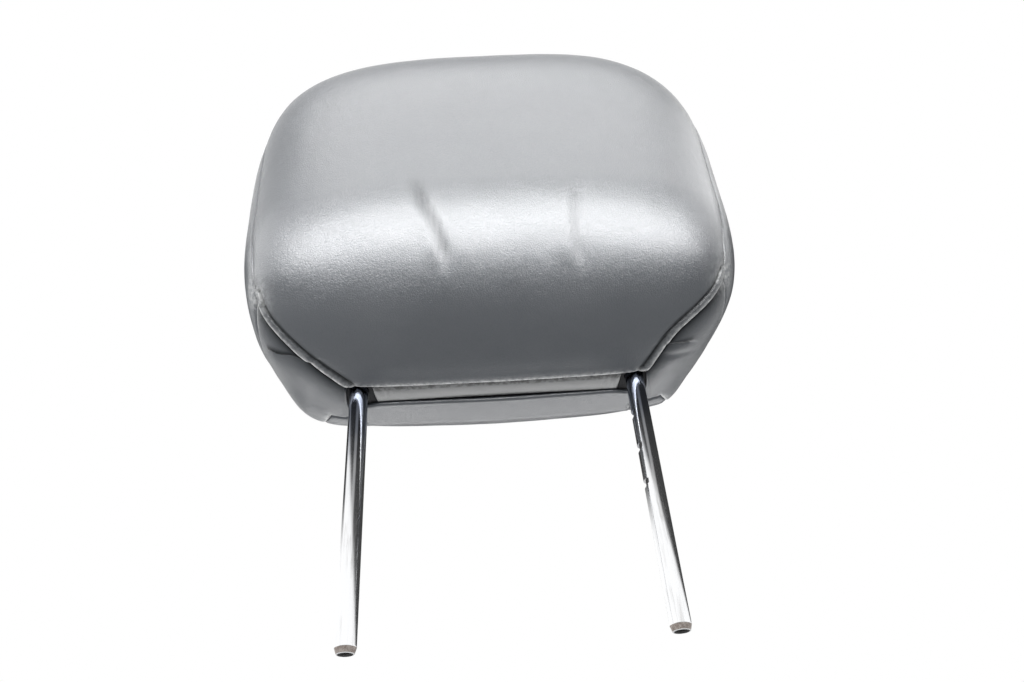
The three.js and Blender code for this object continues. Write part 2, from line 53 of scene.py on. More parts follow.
TINY = 1e-6


def node_box(node):
    """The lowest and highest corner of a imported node, in millimetres."""
    low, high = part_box(node)
    return np.array(low) / MM, np.array(high) / MM


# Tube
POST_RADIUS = 5.0
POST_X = 75.0
BORE_RADIUS = 2.7
TIP_RADIUS = 4.1
TIP_LENGTH = 2.8
TIP_EDGE = 0.25
TIP_SHOULDER = 0.4
MOUTH_RADIUS = 3.6
MOUTH_FLARE = 0.3
MOUTH_DEPTH = 0.8
TUBE_BEND_RADIUS = 30.0
CROSSBAR_HEIGHT = 292.0
NOTCH_HEIGHTS = (72.0, 92.0, 112.0)
NOTCH_DEPTH = 1.8
NOTCH_MOUTH = 4.2
NOTCH_FLOOR = 2.4
NOTCH_HALF_LENGTH = 6.0
OVERCUT = 1.0
TUBE_SIDES = 72
BORE_SIDES = 40
EDGE_RINGS = 6
BEND_RINGS = 25
LEG_RINGS = np.linspace(8.0, 258.0, 26)
ROOM_RINGS = np.concatenate([[100.0], np.linspace(110.0, 258.0, 12)])

# Cushion: the driving sizes and the fullness that its solids have
PAD_WIDTH = 278.0
PAD_HEIGHT = 222.0
PAD_BOTTOM = 134.0
PAD_TOP = PAD_BOTTOM + PAD_HEIGHT
PAD_FRONT_DEPTH = 79.0
PAD_REAR_DEPTH = 40.0
WIDEST_RISE = 89.0
WIDEST_AHEAD = 12.0
FOREMOST_RISE = 81.0
UNDERSIDE_WIDTH = 172.0
UNDERSIDE_FRONT = 7.0
UNDERSIDE_REAR = 38.5
REAR_FOLD_RADIUS = 3.5
CHIN_HEIGHT = 46.0
FRONT_LEAN = 1.5
FRONT_LEAN_POWER = 1.5
REAR_LEAN = 10.0
FRONT_POWER = 3.0
REAR_POWER = 4.5
CROWN_POWER = 3.9
CHIN_POWER = 1.8
TOP_ROUND_POWER = 7.0
TOP_ROUND_ROOT = 0.45
PAD_MIDDLE = np.array([0.0, 0.0, PAD_BOTTOM + PAD_HEIGHT / 2])
SURFACE_HALVINGS = 34
NORMAL_STEP = 0.008
STEEP = 0.7

# Cover
LEATHER_THICKNESS = 2.0
FOAM_INSET = 2.9
SLOT_HALF = 7.5
SLOT_OUTER = POST_X + SLOT_HALF
SLIT_INNER = 76.2
SLIT_OUTER = 80.8
TONGUE_FRONT = 10.6
SIDE_HEM_REAR = 21.0
SLIT_RISE = 6.0
EDGE_ROLL = 1.3
EDGE_ROLL_WIDTH = 1.7
TOPSTITCH_OFFSET = 5.0
ROOM = 0.4

# Distances of a grid's first lines from an edge, where the cover rolls in
FINE_STEPS = (
    0.0, 0.1, 0.25, 0.45, 0.7, 1.0, 1.35, 1.75, 2.2, 2.7,
    3.2, 3.7, 4.2, 4.7, 5.2, 5.7, 6.3, 7.2, 8.4, 10.0,
)

# Camera, fitted to the two posts and the cushion's outline
IMAGE_WIDTH = 1024
FOCAL_PIXELS = 784.0
SENSOR_WIDTH = 36.0
CAMERA_YAW = math.radians(3.04)
CAMERA_PITCH = math.radians(35.41)
CAMERA_ROLL = math.radians(-4.76)
CAMERA_PLACE = (-9.4, -361.4, -92.7)
NEAREST_SEEN = 0.01


# The cushion's surface

def smooth_step(value):
    t = np.clip(value, 0.0, 1.0)
    return t * t * (3.0 - 2.0 * t)


def unit(vectors):
    return vectors / np.linalg.norm(vectors, axis=-1, keepdims=True)


def pad_section(z):
    """The cushion's level section at each height: half width, middle, front and rear."""
    rise = z - PAD_BOTTOM
    band = WIDEST_RISE / np.cbrt(1.0 - (UNDERSIDE_WIDTH / PAD_WIDTH) ** 3)
    below = np.clip((WIDEST_RISE - rise) / band, 0.0, 1.0)
    above = np.clip((rise - WIDEST_RISE) / (PAD_HEIGHT - WIDEST_RISE), 0.0, 1.0)
    crown = (1.0 - above ** CROWN_POWER) ** (1.0 / CROWN_POWER)
    half_width = PAD_WIDTH / 2 * np.where(rise > WIDEST_RISE, crown, np.cbrt(1.0 - below ** 3))
    low = np.clip((FOREMOST_RISE - rise) / FOREMOST_RISE, 0.0, 1.0)
    high = np.clip((rise - FOREMOST_RISE) / (PAD_HEIGHT - FOREMOST_RISE), 0.0, 1.0)
    chin = (1.0 - low ** CHIN_POWER) ** (1.0 / CHIN_POWER)
    depth = (
        UNDERSIDE_FRONT
        - FRONT_LEAN * high ** FRONT_LEAN_POWER
        + (PAD_FRONT_DEPTH - UNDERSIDE_FRONT) * chin
    )
    fold = np.clip(REAR_FOLD_RADIUS - rise, 0.0, REAR_FOLD_RADIUS)
    tuck = REAR_FOLD_RADIUS - np.sqrt(REAR_FOLD_RADIUS ** 2 - fold ** 2)
    back = (
        UNDERSIDE_REAR
        - REAR_LEAN * high ** 2
        - tuck
        + (PAD_REAR_DEPTH - UNDERSIDE_REAR) * smooth_step(1.0 - low)
    )
    rest_middle = (UNDERSIDE_REAR - UNDERSIDE_FRONT) / 2
    middle = rest_middle - (rest_middle + WIDEST_AHEAD) * smooth_step(rise / CHIN_HEIGHT)
    closing = (1.0 - high ** TOP_ROUND_POWER) ** TOP_ROUND_ROOT
    front = middle - (depth + middle) * closing
    rear = middle + (back - middle) * closing
    return half_width, middle, front, rear


def is_inside_pad(points):
    z = points[..., 2]
    half_width, middle, front, rear = pad_section(z)
    faces_front = points[..., 1] < middle
    power = np.where(faces_front, FRONT_POWER, REAR_POWER)
    depth = np.abs(np.where(faces_front, front, rear) - middle)
    across = np.abs(points[..., 0]) / np.maximum(half_width, TINY)
    along = np.abs(points[..., 1] - middle) / np.maximum(depth, TINY)
    within = (z >= PAD_BOTTOM) & (z <= PAD_TOP)
    return within & (across ** power + along ** power < 1.0)


def on_pad(directions):
    """Where rays from the cushion's middle leave the cushion."""
    away = unit(directions)
    inside = np.zeros(away.shape[:-1])
    outside = np.full(away.shape[:-1], PAD_WIDTH)
    for _ in range(SURFACE_HALVINGS):
        reach = (inside + outside) / 2
        within = is_inside_pad(PAD_MIDDLE + away * reach[..., None])
        inside = np.where(within, reach, inside)
        outside = np.where(within, outside, reach)
    return PAD_MIDDLE + away * inside[..., None]


def pad_normals(points):
    """The cushion's outward normals at points on its surface."""
    away = unit(points - PAD_MIDDLE)
    is_steep = np.abs(away[..., 2:]) > STEEP
    helper = np.where(is_steep, np.array([0.0, 1.0, 0.0]), np.array([0.0, 0.0, 1.0]))
    aside = unit(np.cross(away, helper))
    above = np.cross(aside, away)
    along = on_pad(away + NORMAL_STEP * aside) - on_pad(away - NORMAL_STEP * aside)
    up = on_pad(away + NORMAL_STEP * above) - on_pad(away - NORMAL_STEP * above)
    normals = unit(np.cross(along, up))
    return normals * np.sign((normals * away).sum(-1, keepdims=True))


def pad_place(across, back, up):
    """A place given by shares of the cushion's half width, its depth and its height."""
    depth = PAD_FRONT_DEPTH if back < 0 else PAD_REAR_DEPTH
    return (across * PAD_WIDTH / 2, back * depth, PAD_BOTTOM + up * PAD_HEIGHT)


# Curves

def smooth_curve(places, steps=40):
    """A centripetal spline through some places."""
    p = np.array(places, float)
    p = np.vstack([2 * p[0] - p[1], p, 2 * p[-1] - p[-2]])
    points = []
    for a, b, c, d in zip(p[:-3], p[1:-2], p[2:-1], p[3:]):
        ab, bc, cd = (math.sqrt(np.linalg.norm(q)) for q in (b - a, c - b, d - c))
        leaving = ((b - a) / ab - (c - a) / (ab + bc) + (c - b) / bc) * bc
        arriving = ((c - b) / bc - (d - b) / (bc + cd) + (d - c) / cd) * bc
        for t in np.linspace(0.0, 1.0, steps, endpoint=False):
            points.append(
                (2 * t ** 3 - 3 * t ** 2 + 1) * b
                + (t ** 3 - 2 * t ** 2 + t) * leaving
                + (3 * t ** 2 - 2 * t ** 3) * c
                + (t ** 3 - t ** 2) * arriving
            )
    points.append(p[-2])
    return np.array(points)


def seam_through(places):
    return on_pad(smooth_curve(places) - PAD_MIDDLE)


def mirrored(points):
    return points * np.array([-1.0, 1.0, 1.0])


def moved(places, x=0.0, z=0.0):
    return [(a + x, b, c + z) for a, b, c in places]


def lengths_along(curve):
    steps = np.linalg.norm(np.diff(curve, axis=0), axis=1)
    return np.concatenate([[0.0], np.cumsum(steps)])


def resampled(curve, shares):
    """Points at shares of a curve's length."""
    along = lengths_along(curve)
    return np.stack([np.interp(shares * along[-1], along, curve[:, k]) for k in range(3)], -1)


def dense(curve, spacing=0.3):
    count = int(lengths_along(curve)[-1] / spacing) + 2
    return resampled(curve, np.linspace(0.0, 1.0, count))


def nearest_on(points, curve):
    """The nearest of a curve's close points to each point: its distance, number and place."""
    tree = KDTree(len(curve))
    for index, place in enumerate(curve):
        tree.insert(place, index)
    tree.balance()
    found = [tree.find(place) for place in points.reshape(-1, 3)]
    distances = np.array([hit[2] for hit in found]).reshape(points.shape[:-1])
    numbers = np.array([hit[1] for hit in found]).reshape(points.shape[:-1])
    places = np.array([tuple(hit[0]) for hit in found]).reshape(points.shape)
    return distances, numbers, places


def distance_to(points, curve):
    return nearest_on(points, curve)[0]


def rough(points, size, seed):
    """Smooth noise, from -1 to 1, with bumps about as wide as the size."""
    shift = Vector((seed * 17.3, seed * 5.1, seed * 9.7))
    values = [noise.noise(Vector(place) + shift) for place in points.reshape(-1, 3) / size]
    return np.array(values).reshape(points.shape[:-1])


# Forms that depend on the distance from a line: a bell, a steep rise up to the line, and a
# shelf that is level up to its end and then falls softly

def bell(distance, height, width):
    return height * np.exp(-(distance / width) ** 2)


def rise_to(distance, height, reach):
    return height * np.exp(-distance / reach)


def shelf(distance, height, end, fall):
    return height * (1.0 - smooth_step((distance - end) / fall))


# Seams on the right half, as in the solids: the lower one runs from the post slot up to the
# corner, the side one on over the top to the middle of the back, and the insert one from the
# corner to the back and down round to the hem.
SLOT_CORNER = (SLOT_OUTER, -UNDERSIDE_FRONT, PAD_BOTTOM)
SEAM_CORNER = pad_place(0.906, -0.506, 0.171)
LOWER_SEAM = seam_through([
    SLOT_CORNER,
    pad_place(0.72, -0.33, 0.036),
    pad_place(0.87, -0.456, 0.126),
    SEAM_CORNER,
])
# The left one is sewn a little straighter than its mate
LEFT_LOWER_SEAM = mirrored(seam_through([
    SLOT_CORNER,
    (97.4, -17.2, 142.0),
    (113.3, -27.6, 154.3),
    (122.4, -34.5, 164.8),
    SEAM_CORNER,
]))
UPPER_SEAM = seam_through([
    SEAM_CORNER,
    pad_place(0.914, -0.62, 0.252),
    pad_place(0.928, -0.658, 0.446),
    pad_place(0.942, -0.595, 0.658),
    pad_place(0.87, -0.38, 0.829),
    pad_place(0.8, 0.25, 0.905),
    pad_place(0.66, 0.625, 0.93),
    pad_place(0.36, 0.69, 0.938),
    pad_place(0.0, 0.7, 0.94),
])
INSERT_SEAM = seam_through([
    SEAM_CORNER,
    pad_place(0.924, -0.2, 0.14),
    pad_place(0.925, 0.2, 0.138),
    pad_place(0.885, 0.62, 0.105),
    pad_place(0.79, 0.82, 0.055),
    pad_place(0.715, 0.76, 0.02),
    pad_place(0.676, 0.525, 0.005),
])
REAR_CORNER = np.array(pad_place(0.73, 0.5, 0.92))
TOP_CORNER = np.argmin(np.linalg.norm(UPPER_SEAM - REAR_CORNER, axis=1))
SIDE_SEAM = UPPER_SEAM[: TOP_CORNER + 1]
TOP_SEAM = np.vstack([UPPER_SEAM[TOP_CORNER:], mirrored(UPPER_SEAM[TOP_CORNER:-1])[::-1]])[::-1]
FRONT_EDGE = on_pad(np.linspace(mirrored(np.array(SLOT_CORNER)), SLOT_CORNER, 200) - PAD_MIDDLE)
LOWER_SEAMS = np.vstack([dense(LOWER_SEAM), dense(LEFT_LOWER_SEAM)])
INSERT_SEAMS = np.vstack([dense(INSERT_SEAM), dense(mirrored(INSERT_SEAM))])
UPPER_SEAMS = np.vstack([dense(UPPER_SEAM), dense(mirrored(UPPER_SEAM))])


# Grids between four edge curves

def to_plane(points, pole):
    """Flattens directions from the cushion's middle. Pole 1 keeps the rear in the middle of
    the plane, and pole -1 the front."""
    away = unit(points - PAD_MIDDLE)
    return away[..., [0, 2]] / (1.0 + pole * away[..., 1:2])


def from_plane(flat, pole):
    square = (flat ** 2).sum(-1)
    across = 2.0 * flat / (1.0 + square)[..., None]
    along = pole * (1.0 - square) / (1.0 + square)
    return np.stack([across[..., 0], along, across[..., 1]], -1)


def spaced(length, spacing, fine=FINE_STEPS):
    """Shares of a length: a fine row of steps at each end, and even ones between them."""
    near = np.array(fine) / length
    count = max(int(round((length - 2 * fine[-1]) / spacing)), 2)
    even = np.linspace(near[-1], 1.0 - near[-1], count + 1)
    return np.concatenate([near[:-1], even, 1.0 - near[:-1][::-1]])


def patch(bottom, top, left, right, across, up, pole, bulge_reach=1.0):
    """A grid of points on the cushion between four edge curves. The bulge of a side curve
    fades evenly over the whole width, or softly over a share of it."""
    t = up[:, None, None]
    lower = to_plane(resampled(bottom, across), pole)
    upper = to_plane(resampled(top, across), pole)
    left_share, right_share = 1.0 - across, across
    if bulge_reach < 1.0:
        left_share = smooth_step(1.0 - across / bulge_reach)
        right_share = smooth_step(1.0 - (1.0 - across) / bulge_reach)
    flat = (1 - t) * lower[None] + t * upper[None]
    for curve, end, share in ((left, 0, left_share), (right, -1, right_share)):
        straight = (1 - up[:, None]) * lower[end] + up[:, None] * upper[end]
        bulge = to_plane(resampled(curve, up), pole) - straight
        flat = flat + share[None, :, None] * bulge[:, None]
    return on_pad(from_plane(flat, pole))


# Meshes

def place_mesh(name, points, faces):
    """Makes an object, smoothly shaded, from points in millimetres."""
    mesh = bpy.data.meshes.new(name)
    mesh.from_pydata((np.asarray(points) * MM).tolist(), [], faces)
    mesh.shade_smooth()
    return place_object(name, mesh)


def place_object(name, data):
    obj = bpy.data.objects.new(name, data)
    bpy.context.scene.collection.objects.link(obj)
    return obj


def keep_sharp(obj, degrees):
    """Leaves the edges sharp where the surface turns by more than an angle."""
    mesh = bmesh.new()
    mesh.from_mesh(obj.data)
    for edge in mesh.edges:
        if len(edge.link_faces) == 2:
            edge.smooth = edge.calc_face_angle() < math.radians(degrees)
    mesh.to_mesh(obj.data)
    mesh.free()


def turn_outwards(obj):
    """Turns every face outwards."""
    mesh = bmesh.new()
    mesh.from_mesh(obj.data)
    bmesh.ops.recalc_face_normals(mesh, faces=mesh.faces)
    mesh.to_mesh(obj.data)
    mesh.free()


def cut_away(obj, cutters):
    """Cuts closed meshes out of another and removes them."""
    for cutter in cutters:
        turn_outwards(cutter)
        cut = obj.modifiers.new(cutter.name, "BOOLEAN")
        cut.operation = "DIFFERENCE"
        cut.solver = "EXACT"
        cut.object = cutter
    graph = bpy.context.evaluated_depsgraph_get()
    mesh = bpy.data.meshes.new_from_object(obj.evaluated_get(graph))
    obj.modifiers.clear()
    obj.data = mesh
    for cutter in cutters:
        bpy.data.objects.remove(cutter)


def shell(name, outer, inner, normals, kept=None, marks=None):
    """A closed sheet between two grids of points. Cells that aren't kept are left open, and
    every open edge is closed by a wall. Marks are values for the outer points, by name."""
    rows, columns = outer.shape[:2]
    if kept is None:
        kept = np.ones((rows - 1, columns - 1), bool)
    index = np.arange(rows * columns).reshape(rows, columns)
    step = rows * columns
    row, column = rows // 2, columns // 2
    across = outer[row, column + 1] - outer[row, column]
    up = outer[row + 1, column] - outer[row, column]
    faces_out = np.dot(np.cross(across, up), normals[row, column]) > 0
    rings = []
    for i, j in np.argwhere(kept):
        ring = [index[i, j], index[i, j + 1], index[i + 1, j + 1], index[i + 1, j]]
        rings.append(ring if faces_out else ring[::-1])
    sides = {side for ring in rings for side in zip(ring, ring[1:] + ring[:1])}
    faces = []
    for ring in rings:
        faces += [ring, [step + corner for corner in reversed(ring)]]
        for a, b in zip(ring, ring[1:] + ring[:1]):
            if (b, a) not in sides:
                faces.append([b, a, step + a, step + b])
    points = np.vstack([outer.reshape(-1, 3), inner.reshape(-1, 3)])
    used = np.unique(np.concatenate([np.array(face) for face in faces]))
    place = np.full(len(points), -1)
    place[used] = np.arange(len(used))
    obj = place_mesh(name, points[used], [[int(place[c]) for c in face] for face in faces])
    for mark, values in (marks or {}).items():
        both = np.concatenate([values.reshape(-1), np.zeros(step)])
        attribute = obj.data.attributes.new(mark, "FLOAT", "POINT")
        attribute.data.foreach_set("value", both[used].astype(np.float32))
    return obj


# The cover's relief: depths are measured inwards from the cushion's surface

# Where the stuffed cover stands a little proud of its even form, or falls short of it:
# a place, how far the swelling reaches, and its height
SWELLINGS = (
    ((60.0, -25.0, 354.0), 45.0, 3.0),
    ((-75.0, -25.0, 352.0), 40.0, -0.9),
    ((-112.0, -25.0, 334.0), 26.0, 1.4),
    ((-139.0, -12.0, 202.0), 30.0, -2.2),
    ((-131.0, 0.0, 172.0), 20.0, 1.8),
    ((-113.0, 14.0, 150.0), 20.0, -1.0),
    ((135.0, -10.0, 288.0), 34.0, 2.2),
    ((136.0, -5.0, 186.0), 22.0, 1.8),
    ((116.0, 10.0, 153.0), 26.0, -3.0),
    ((0.0, 37.0, 134.0), 46.0, 1.6),
    ((97.0, 27.0, 139.0), 12.0, 3.5),
    ((-104.0, 28.0, 144.0), 20.0, 5.5),
)

# Uneven stuffing and the puckers of the seams: a height, the width of the bumps, and a seed
UNEVEN = ((0.3, 46.0, 1), (0.08, 13.0, 2))
PUCKERS = ((0.3, 7.0, 3), (0.12, 3.2, 4))

# Two creases pressed into the front panel, from top to bottom
LEFT_CREASE = (
    (-41.0, -78.5, 219.0),
    (-35.5, -77.4, 205.0),
    (-28.0, -72.5, 186.3),
    (-24.5, -66.3, 174.0),
    (-23.5, -60.0, 164.5),
)
RIGHT_CREASE = (
    (47.0, -78.0, 214.0),
    (46.0, -76.5, 204.0),
    (44.0, -73.0, 190.0),
    (44.0, -66.0, 174.0),
    (46.5, -58.5, 163.0),
)
CREASE_TAPER = 0.25
# The groove of each crease and the swellings beside it: the line, how far it is moved along
# X and Z, its height and its width
CREASES = (
    (LEFT_CREASE, 0.0, 0.0, -1.7, 1.9),
    (LEFT_CREASE, -4.5, 0.0, 0.5, 3.6),
    (LEFT_CREASE, 7.0, -2.0, 0.3, 5.0),
    (RIGHT_CREASE, 0.0, 0.0, -0.95, 2.4),
    (RIGHT_CREASE, -5.5, 0.0, 0.4, 4.5),
)
# The painted shade in each crease: the line, how far it is moved along X, its strength and its
# width
CREASE_SHADE = ((LEFT_CREASE, 0.8, 0.4, 2.6), (RIGHT_CREASE, -0.6, 0.15, 2.6))

# Folds in the side inserts, each from the outside in
LEFT_POCKET = (
    (-121.5, -15.5, 156.5),
    (-114.0, -18.2, 151.0),
    (-107.5, -20.5, 147.8),
    (-101.0, -19.6, 144.3),
)
RIGHT_POCKET = ((106.0, -16.5, 146.0), (98.0, -19.0, 143.4), (92.5, -21.5, 141.9))
RIGHT_WRINKLE = (
    (113.0, -3.0, 147.0),
    (106.0, -7.5, 143.6),
    (97.0, -11.0, 140.4),
    (90.0, -14.0, 138.4),
)
WRINKLE_HEIGHT = -0.6
WRINKLE_WIDTH = 2.2
# Each pocket: its line, how proud the upper side stands, how deep the lower one lies, how
# far the fold reaches and how dark the painted shadow under it is
POCKETS = ((LEFT_POCKET, 1.5, 3.2, 5.0, 1.0), (RIGHT_POCKET, 0.8, 1.7, 4.0, 0.8))
POCKET_LIP = 0.2
POCKET_SHADE_WIDTH = 2.6
POCKET_SHADE_REACH = 3.0
FOLD_UP = np.array([0.0, -0.5, 0.85])

# Beside the seams: the cover's dips, and the height and reach of the tuck
SEAM_DIP = 0.9
INSERT_SEAM_DIP = 0.54
SEAM_DIP_REACH = 6.0
TUCK = (1.5, 4.0)

# Marks of wear with a painted highlight along the edges, and of painted shade: their strength, and
# how far they reach
EDGE_WEAR_AND_HIGHLIGHT = (2.0, 1.1)
CORNER_WEAR = (0.55, 9.0)
SEAM_PAINTED_SHADE = (0.8, 0.6)
INSERT_TUCK_SHADE = (1.35, 4.2)


def relief_line(places):
    return dense(smooth_curve(places, 12))


def ridge(points, places, height, width):
    """A ridge along a line through some places, or a groove where the height is below 0."""
    return bell(distance_to(points, relief_line(places)), height, width)


def crease(points, places, height, width):
    """A ridge or groove that runs out at both ends."""
    line = relief_line(places)
    distance, number, _ = nearest_on(points, line)
    along = lengths_along(line)
    share = along[number] / along[-1]
    ends = smooth_step(share / CREASE_TAPER) * smooth_step((1.0 - share) / CREASE_TAPER)
    return bell(distance, height, width) * ends


def beside_fold(points, places):
    """The distance from a line through some places, above 0 on the line's upper side, and the
    share of the line's length at which each point lies."""
    line = relief_line(places)
    distance, number, near = nearest_on(points, line)
    along = lengths_along(line)
    return distance * np.sign(((points - near) * FOLD_UP).sum(-1)), along[number] / along[-1]


def overlap(points, places, lip, drop, reach):
    """A fold whose upper side stands over its lower one, which runs out over a reach. Above 0
    is outwards."""
    away, along = beside_fold(points, places)
    ends = np.sqrt(np.clip(4.0 * along * (1.0 - along) + 0.25, 0.0, 1.0))
    upper = rise_to(np.maximum(away, 0.0), lip, 0.5 * reach)
    lower = rise_to(np.maximum(-away, 0.0), -drop, reach)
    share = smooth_step(away + 0.5)
    return (share * upper + (1.0 - share) * lower) * ends


def body_relief(points):
    """The dents and swellings that run on under every panel, inwards positive."""
    depth = sum(height * rough(points, size, seed) for height, size, seed in UNEVEN)
    for place, reach, height in SWELLINGS:
        away = np.linalg.norm(points - np.array(place), axis=-1)
        depth -= bell(away, height, reach)
    for line, x, z, height, width in CREASES:
        depth -= crease(points, moved(line, x, z), height, width)
    for line, lip, drop, reach, _ in POCKETS:
        depth -= overlap(points, line, lip, drop, reach)
    return depth - ridge(points, RIGHT_WRINKLE, WRINKLE_HEIGHT, WRINKLE_WIDTH)


def seam_relief(points):
    """How far the cover is pulled in beside its seams, with the puckers that this makes."""
    upper = rise_to(distance_to(points, UPPER_SEAMS), 1.0, SEAM_DIP_REACH)
    insert = rise_to(distance_to(points, INSERT_SEAMS), 1.0, SEAM_DIP_REACH)
    puckers = sum(height * rough(points, size, seed) for height, size, seed in PUCKERS)
    return (SEAM_DIP + puckers) * upper + (INSERT_SEAM_DIP + puckers) * insert


def tuck_relief(points):
    """How far the side inserts are tucked in under the lower seams."""
    return rise_to(distance_to(points, LOWER_SEAMS), *TUCK)


def edge_roll(distance):
    """A quarter round along an edge."""
    share = np.clip(1.0 - distance / EDGE_ROLL_WIDTH, 0.0, 1.0)
    return EDGE_ROLL * (1.0 - np.sqrt(1.0 - share ** 2))


# The cover

def panel(name, points, edges, extra, kept=None, worn_and_lit_edges=None, shade_amount=0.0):
    """A leather panel over the cushion's surface, pressed in by an extra depth and rolled in
    along its edges. It is painted pale beside the given edge curves and at the seam corners, for
    wear together with a painted highlight, and painted dark by the shade amount and beside the
    upper seam, as painted shade."""
    normals = pad_normals(points)
    shared = body_relief(points) + seam_relief(points) + extra
    to_edge = distance_to(points, np.vstack(edges))
    wear_and_highlight = np.zeros(points.shape[:2])
    # Paler beside the given edges: wear together with a painted highlight on the rolled edge
    if worn_and_lit_edges is not None:
        wear_and_highlight = np.clip(rise_to(distance_to(points, worn_and_lit_edges), *EDGE_WEAR_AND_HIGHLIGHT), 0.0, 1.0)
    for corner in (SEAM_CORNER, mirrored(np.array(SEAM_CORNER))):
        away = np.linalg.norm(points - np.array(corner), axis=-1)
        wear_and_highlight = np.maximum(wear_and_highlight, bell(away, *CORNER_WEAR))
    # Painted shade beside the upper seams, where the cover dips in
    seam_shade = rise_to(distance_to(points, UPPER_SEAMS), *SEAM_PAINTED_SHADE)
    marks = {"wear_and_highlight": wear_and_highlight, "painted_shade": np.clip(shade_amount + seam_shade, 0.0, 1.0)}
    outer = points - normals * (shared + edge_roll(to_edge))[..., None]
    inner = points - normals * (shared + LEATHER_THICKNESS)[..., None]
    return shell(name, outer, inner, normals, kept, marks)


# The front panel's grid, its relief, and its painted shade beside the lower seams: it laps
# over the inserts, with a row of stitches in a groove and gathers between it and the seam.
# Bells have a height and a width, and shelves a height, an end and a fall.
FRONT_GRID_WIDTH = 235.0
FRONT_GRID_HEIGHT = 335.0
FRONT_GRID_STEP = 1.9
GROOVE = (0.7, 0.8)
VALLEY = (0.3, 3.0)
LAP = (0.9, 3.2, 3.5)
HEM = (0.6, 2.0, 7.0)
GATHER_PITCH = 2.9
GATHERS = (0.14, 4.4, 1.4)
GATHERS_START = 0.8
GATHERS_ONSET = 1.2
GROOVE_SHADE = (0.85, 0.9)
LAP_SHADE = (0.3, 4.6, 1.4)
LAP_SHADE_START = 1.6


def front_panel():
    left = np.vstack([LEFT_LOWER_SEAM, mirrored(SIDE_SEAM[1:])])
    right = np.vstack([LOWER_SEAM, SIDE_SEAM[1:]])
    across = spaced(FRONT_GRID_WIDTH, FRONT_GRID_STEP)
    up = spaced(FRONT_GRID_HEIGHT, FRONT_GRID_STEP)
    points = patch(FRONT_EDGE, TOP_SEAM, left, right, across, up, pole=-1)
    to_lower = distance_to(points, LOWER_SEAMS)
    to_bottom = distance_to(points, FRONT_EDGE)
    to_groove = to_lower - TOPSTITCH_OFFSET
    right_half = np.stack([np.abs(points[..., 0]), points[..., 1], points[..., 2]], -1)
    seam = dense(LOWER_SEAM)
    along = lengths_along(seam)[nearest_on(right_half, seam)[1]]
    gathers = shelf(to_lower, *GATHERS) * smooth_step((to_lower - GATHERS_START) / GATHERS_ONSET)
    gathers = gathers * np.cos(2 * math.pi * along / GATHER_PITCH)
    extra = bell(to_groove, *GROOVE) + bell(to_groove, *VALLEY) + gathers
    extra = extra - shelf(to_lower, *LAP) - shelf(to_bottom, *HEM)
    # Painted shade in the stitch groove, across the lap beside the lower seam, and in the creases
    shade_amount = bell(to_groove, *GROOVE_SHADE)
    shade_amount += shelf(to_lower, *LAP_SHADE) * smooth_step(to_lower - LAP_SHADE_START)
    for line, x, strength, width in CREASE_SHADE:
        shade_amount += crease(points, moved(line, x), strength, width)
    edges = [dense(FRONT_EDGE), LOWER_SEAMS, UPPER_SEAMS]
    worn_and_lit_edges = np.vstack([dense(FRONT_EDGE), LOWER_SEAMS])
    return panel("front_cover", points, edges, extra, worn_and_lit_edges=worn_and_lit_edges, shade_amount=np.clip(shade_amount, 0.0, 1.0))


# The rear panel's grid, its slits beside the posts, and the fold across its tongue
REAR_GRID_HEIGHT = 230.0
REAR_GRID_STEP_ACROSS = 2.1
REAR_GRID_STEP_UP = 1.7
REAR_BULGE_REACH = 0.17
SLIT_END = 39.0
SLIT_EDGE_STEP = 0.3
TONGUE_FOLD_Y = UNDERSIDE_REAR - 4.5
TONGUE_FOLD_HALF = 73.0
TONGUE_FOLD_STEP = 0.5
TONGUE_FOLD = (0.3, 0.8)
TONGUE_FOLD_SHADE = (0.6, 0.5)


def lower_rim():
    """The lower edge of the rear panel, from corner to corner: down the left insert's seam,
    along the hem, round each slit and across the front of the tongue, and up again."""
    hem = INSERT_SEAM[-1]
    right = [
        (0.0, TONGUE_FRONT),
        (POST_X - SLOT_HALF - 2.0, TONGUE_FRONT),
        (SLIT_INNER - 1.0, TONGUE_FRONT + 2.5),
        (SLIT_OUTER + 0.4, SIDE_HEM_REAR - 1.5),
        (SLOT_OUTER + 1.0, SIDE_HEM_REAR),
        (hem[0], hem[1]),
    ]
    corners = np.array([(x, y, PAD_BOTTOM) for x, y in right])
    half = on_pad(resampled(corners, np.linspace(0.0, 1.0, 300)) - PAD_MIDDLE)
    half = np.vstack([half, INSERT_SEAM[::-1][1:]])
    return np.vstack([mirrored(half)[::-1], half[1:]])


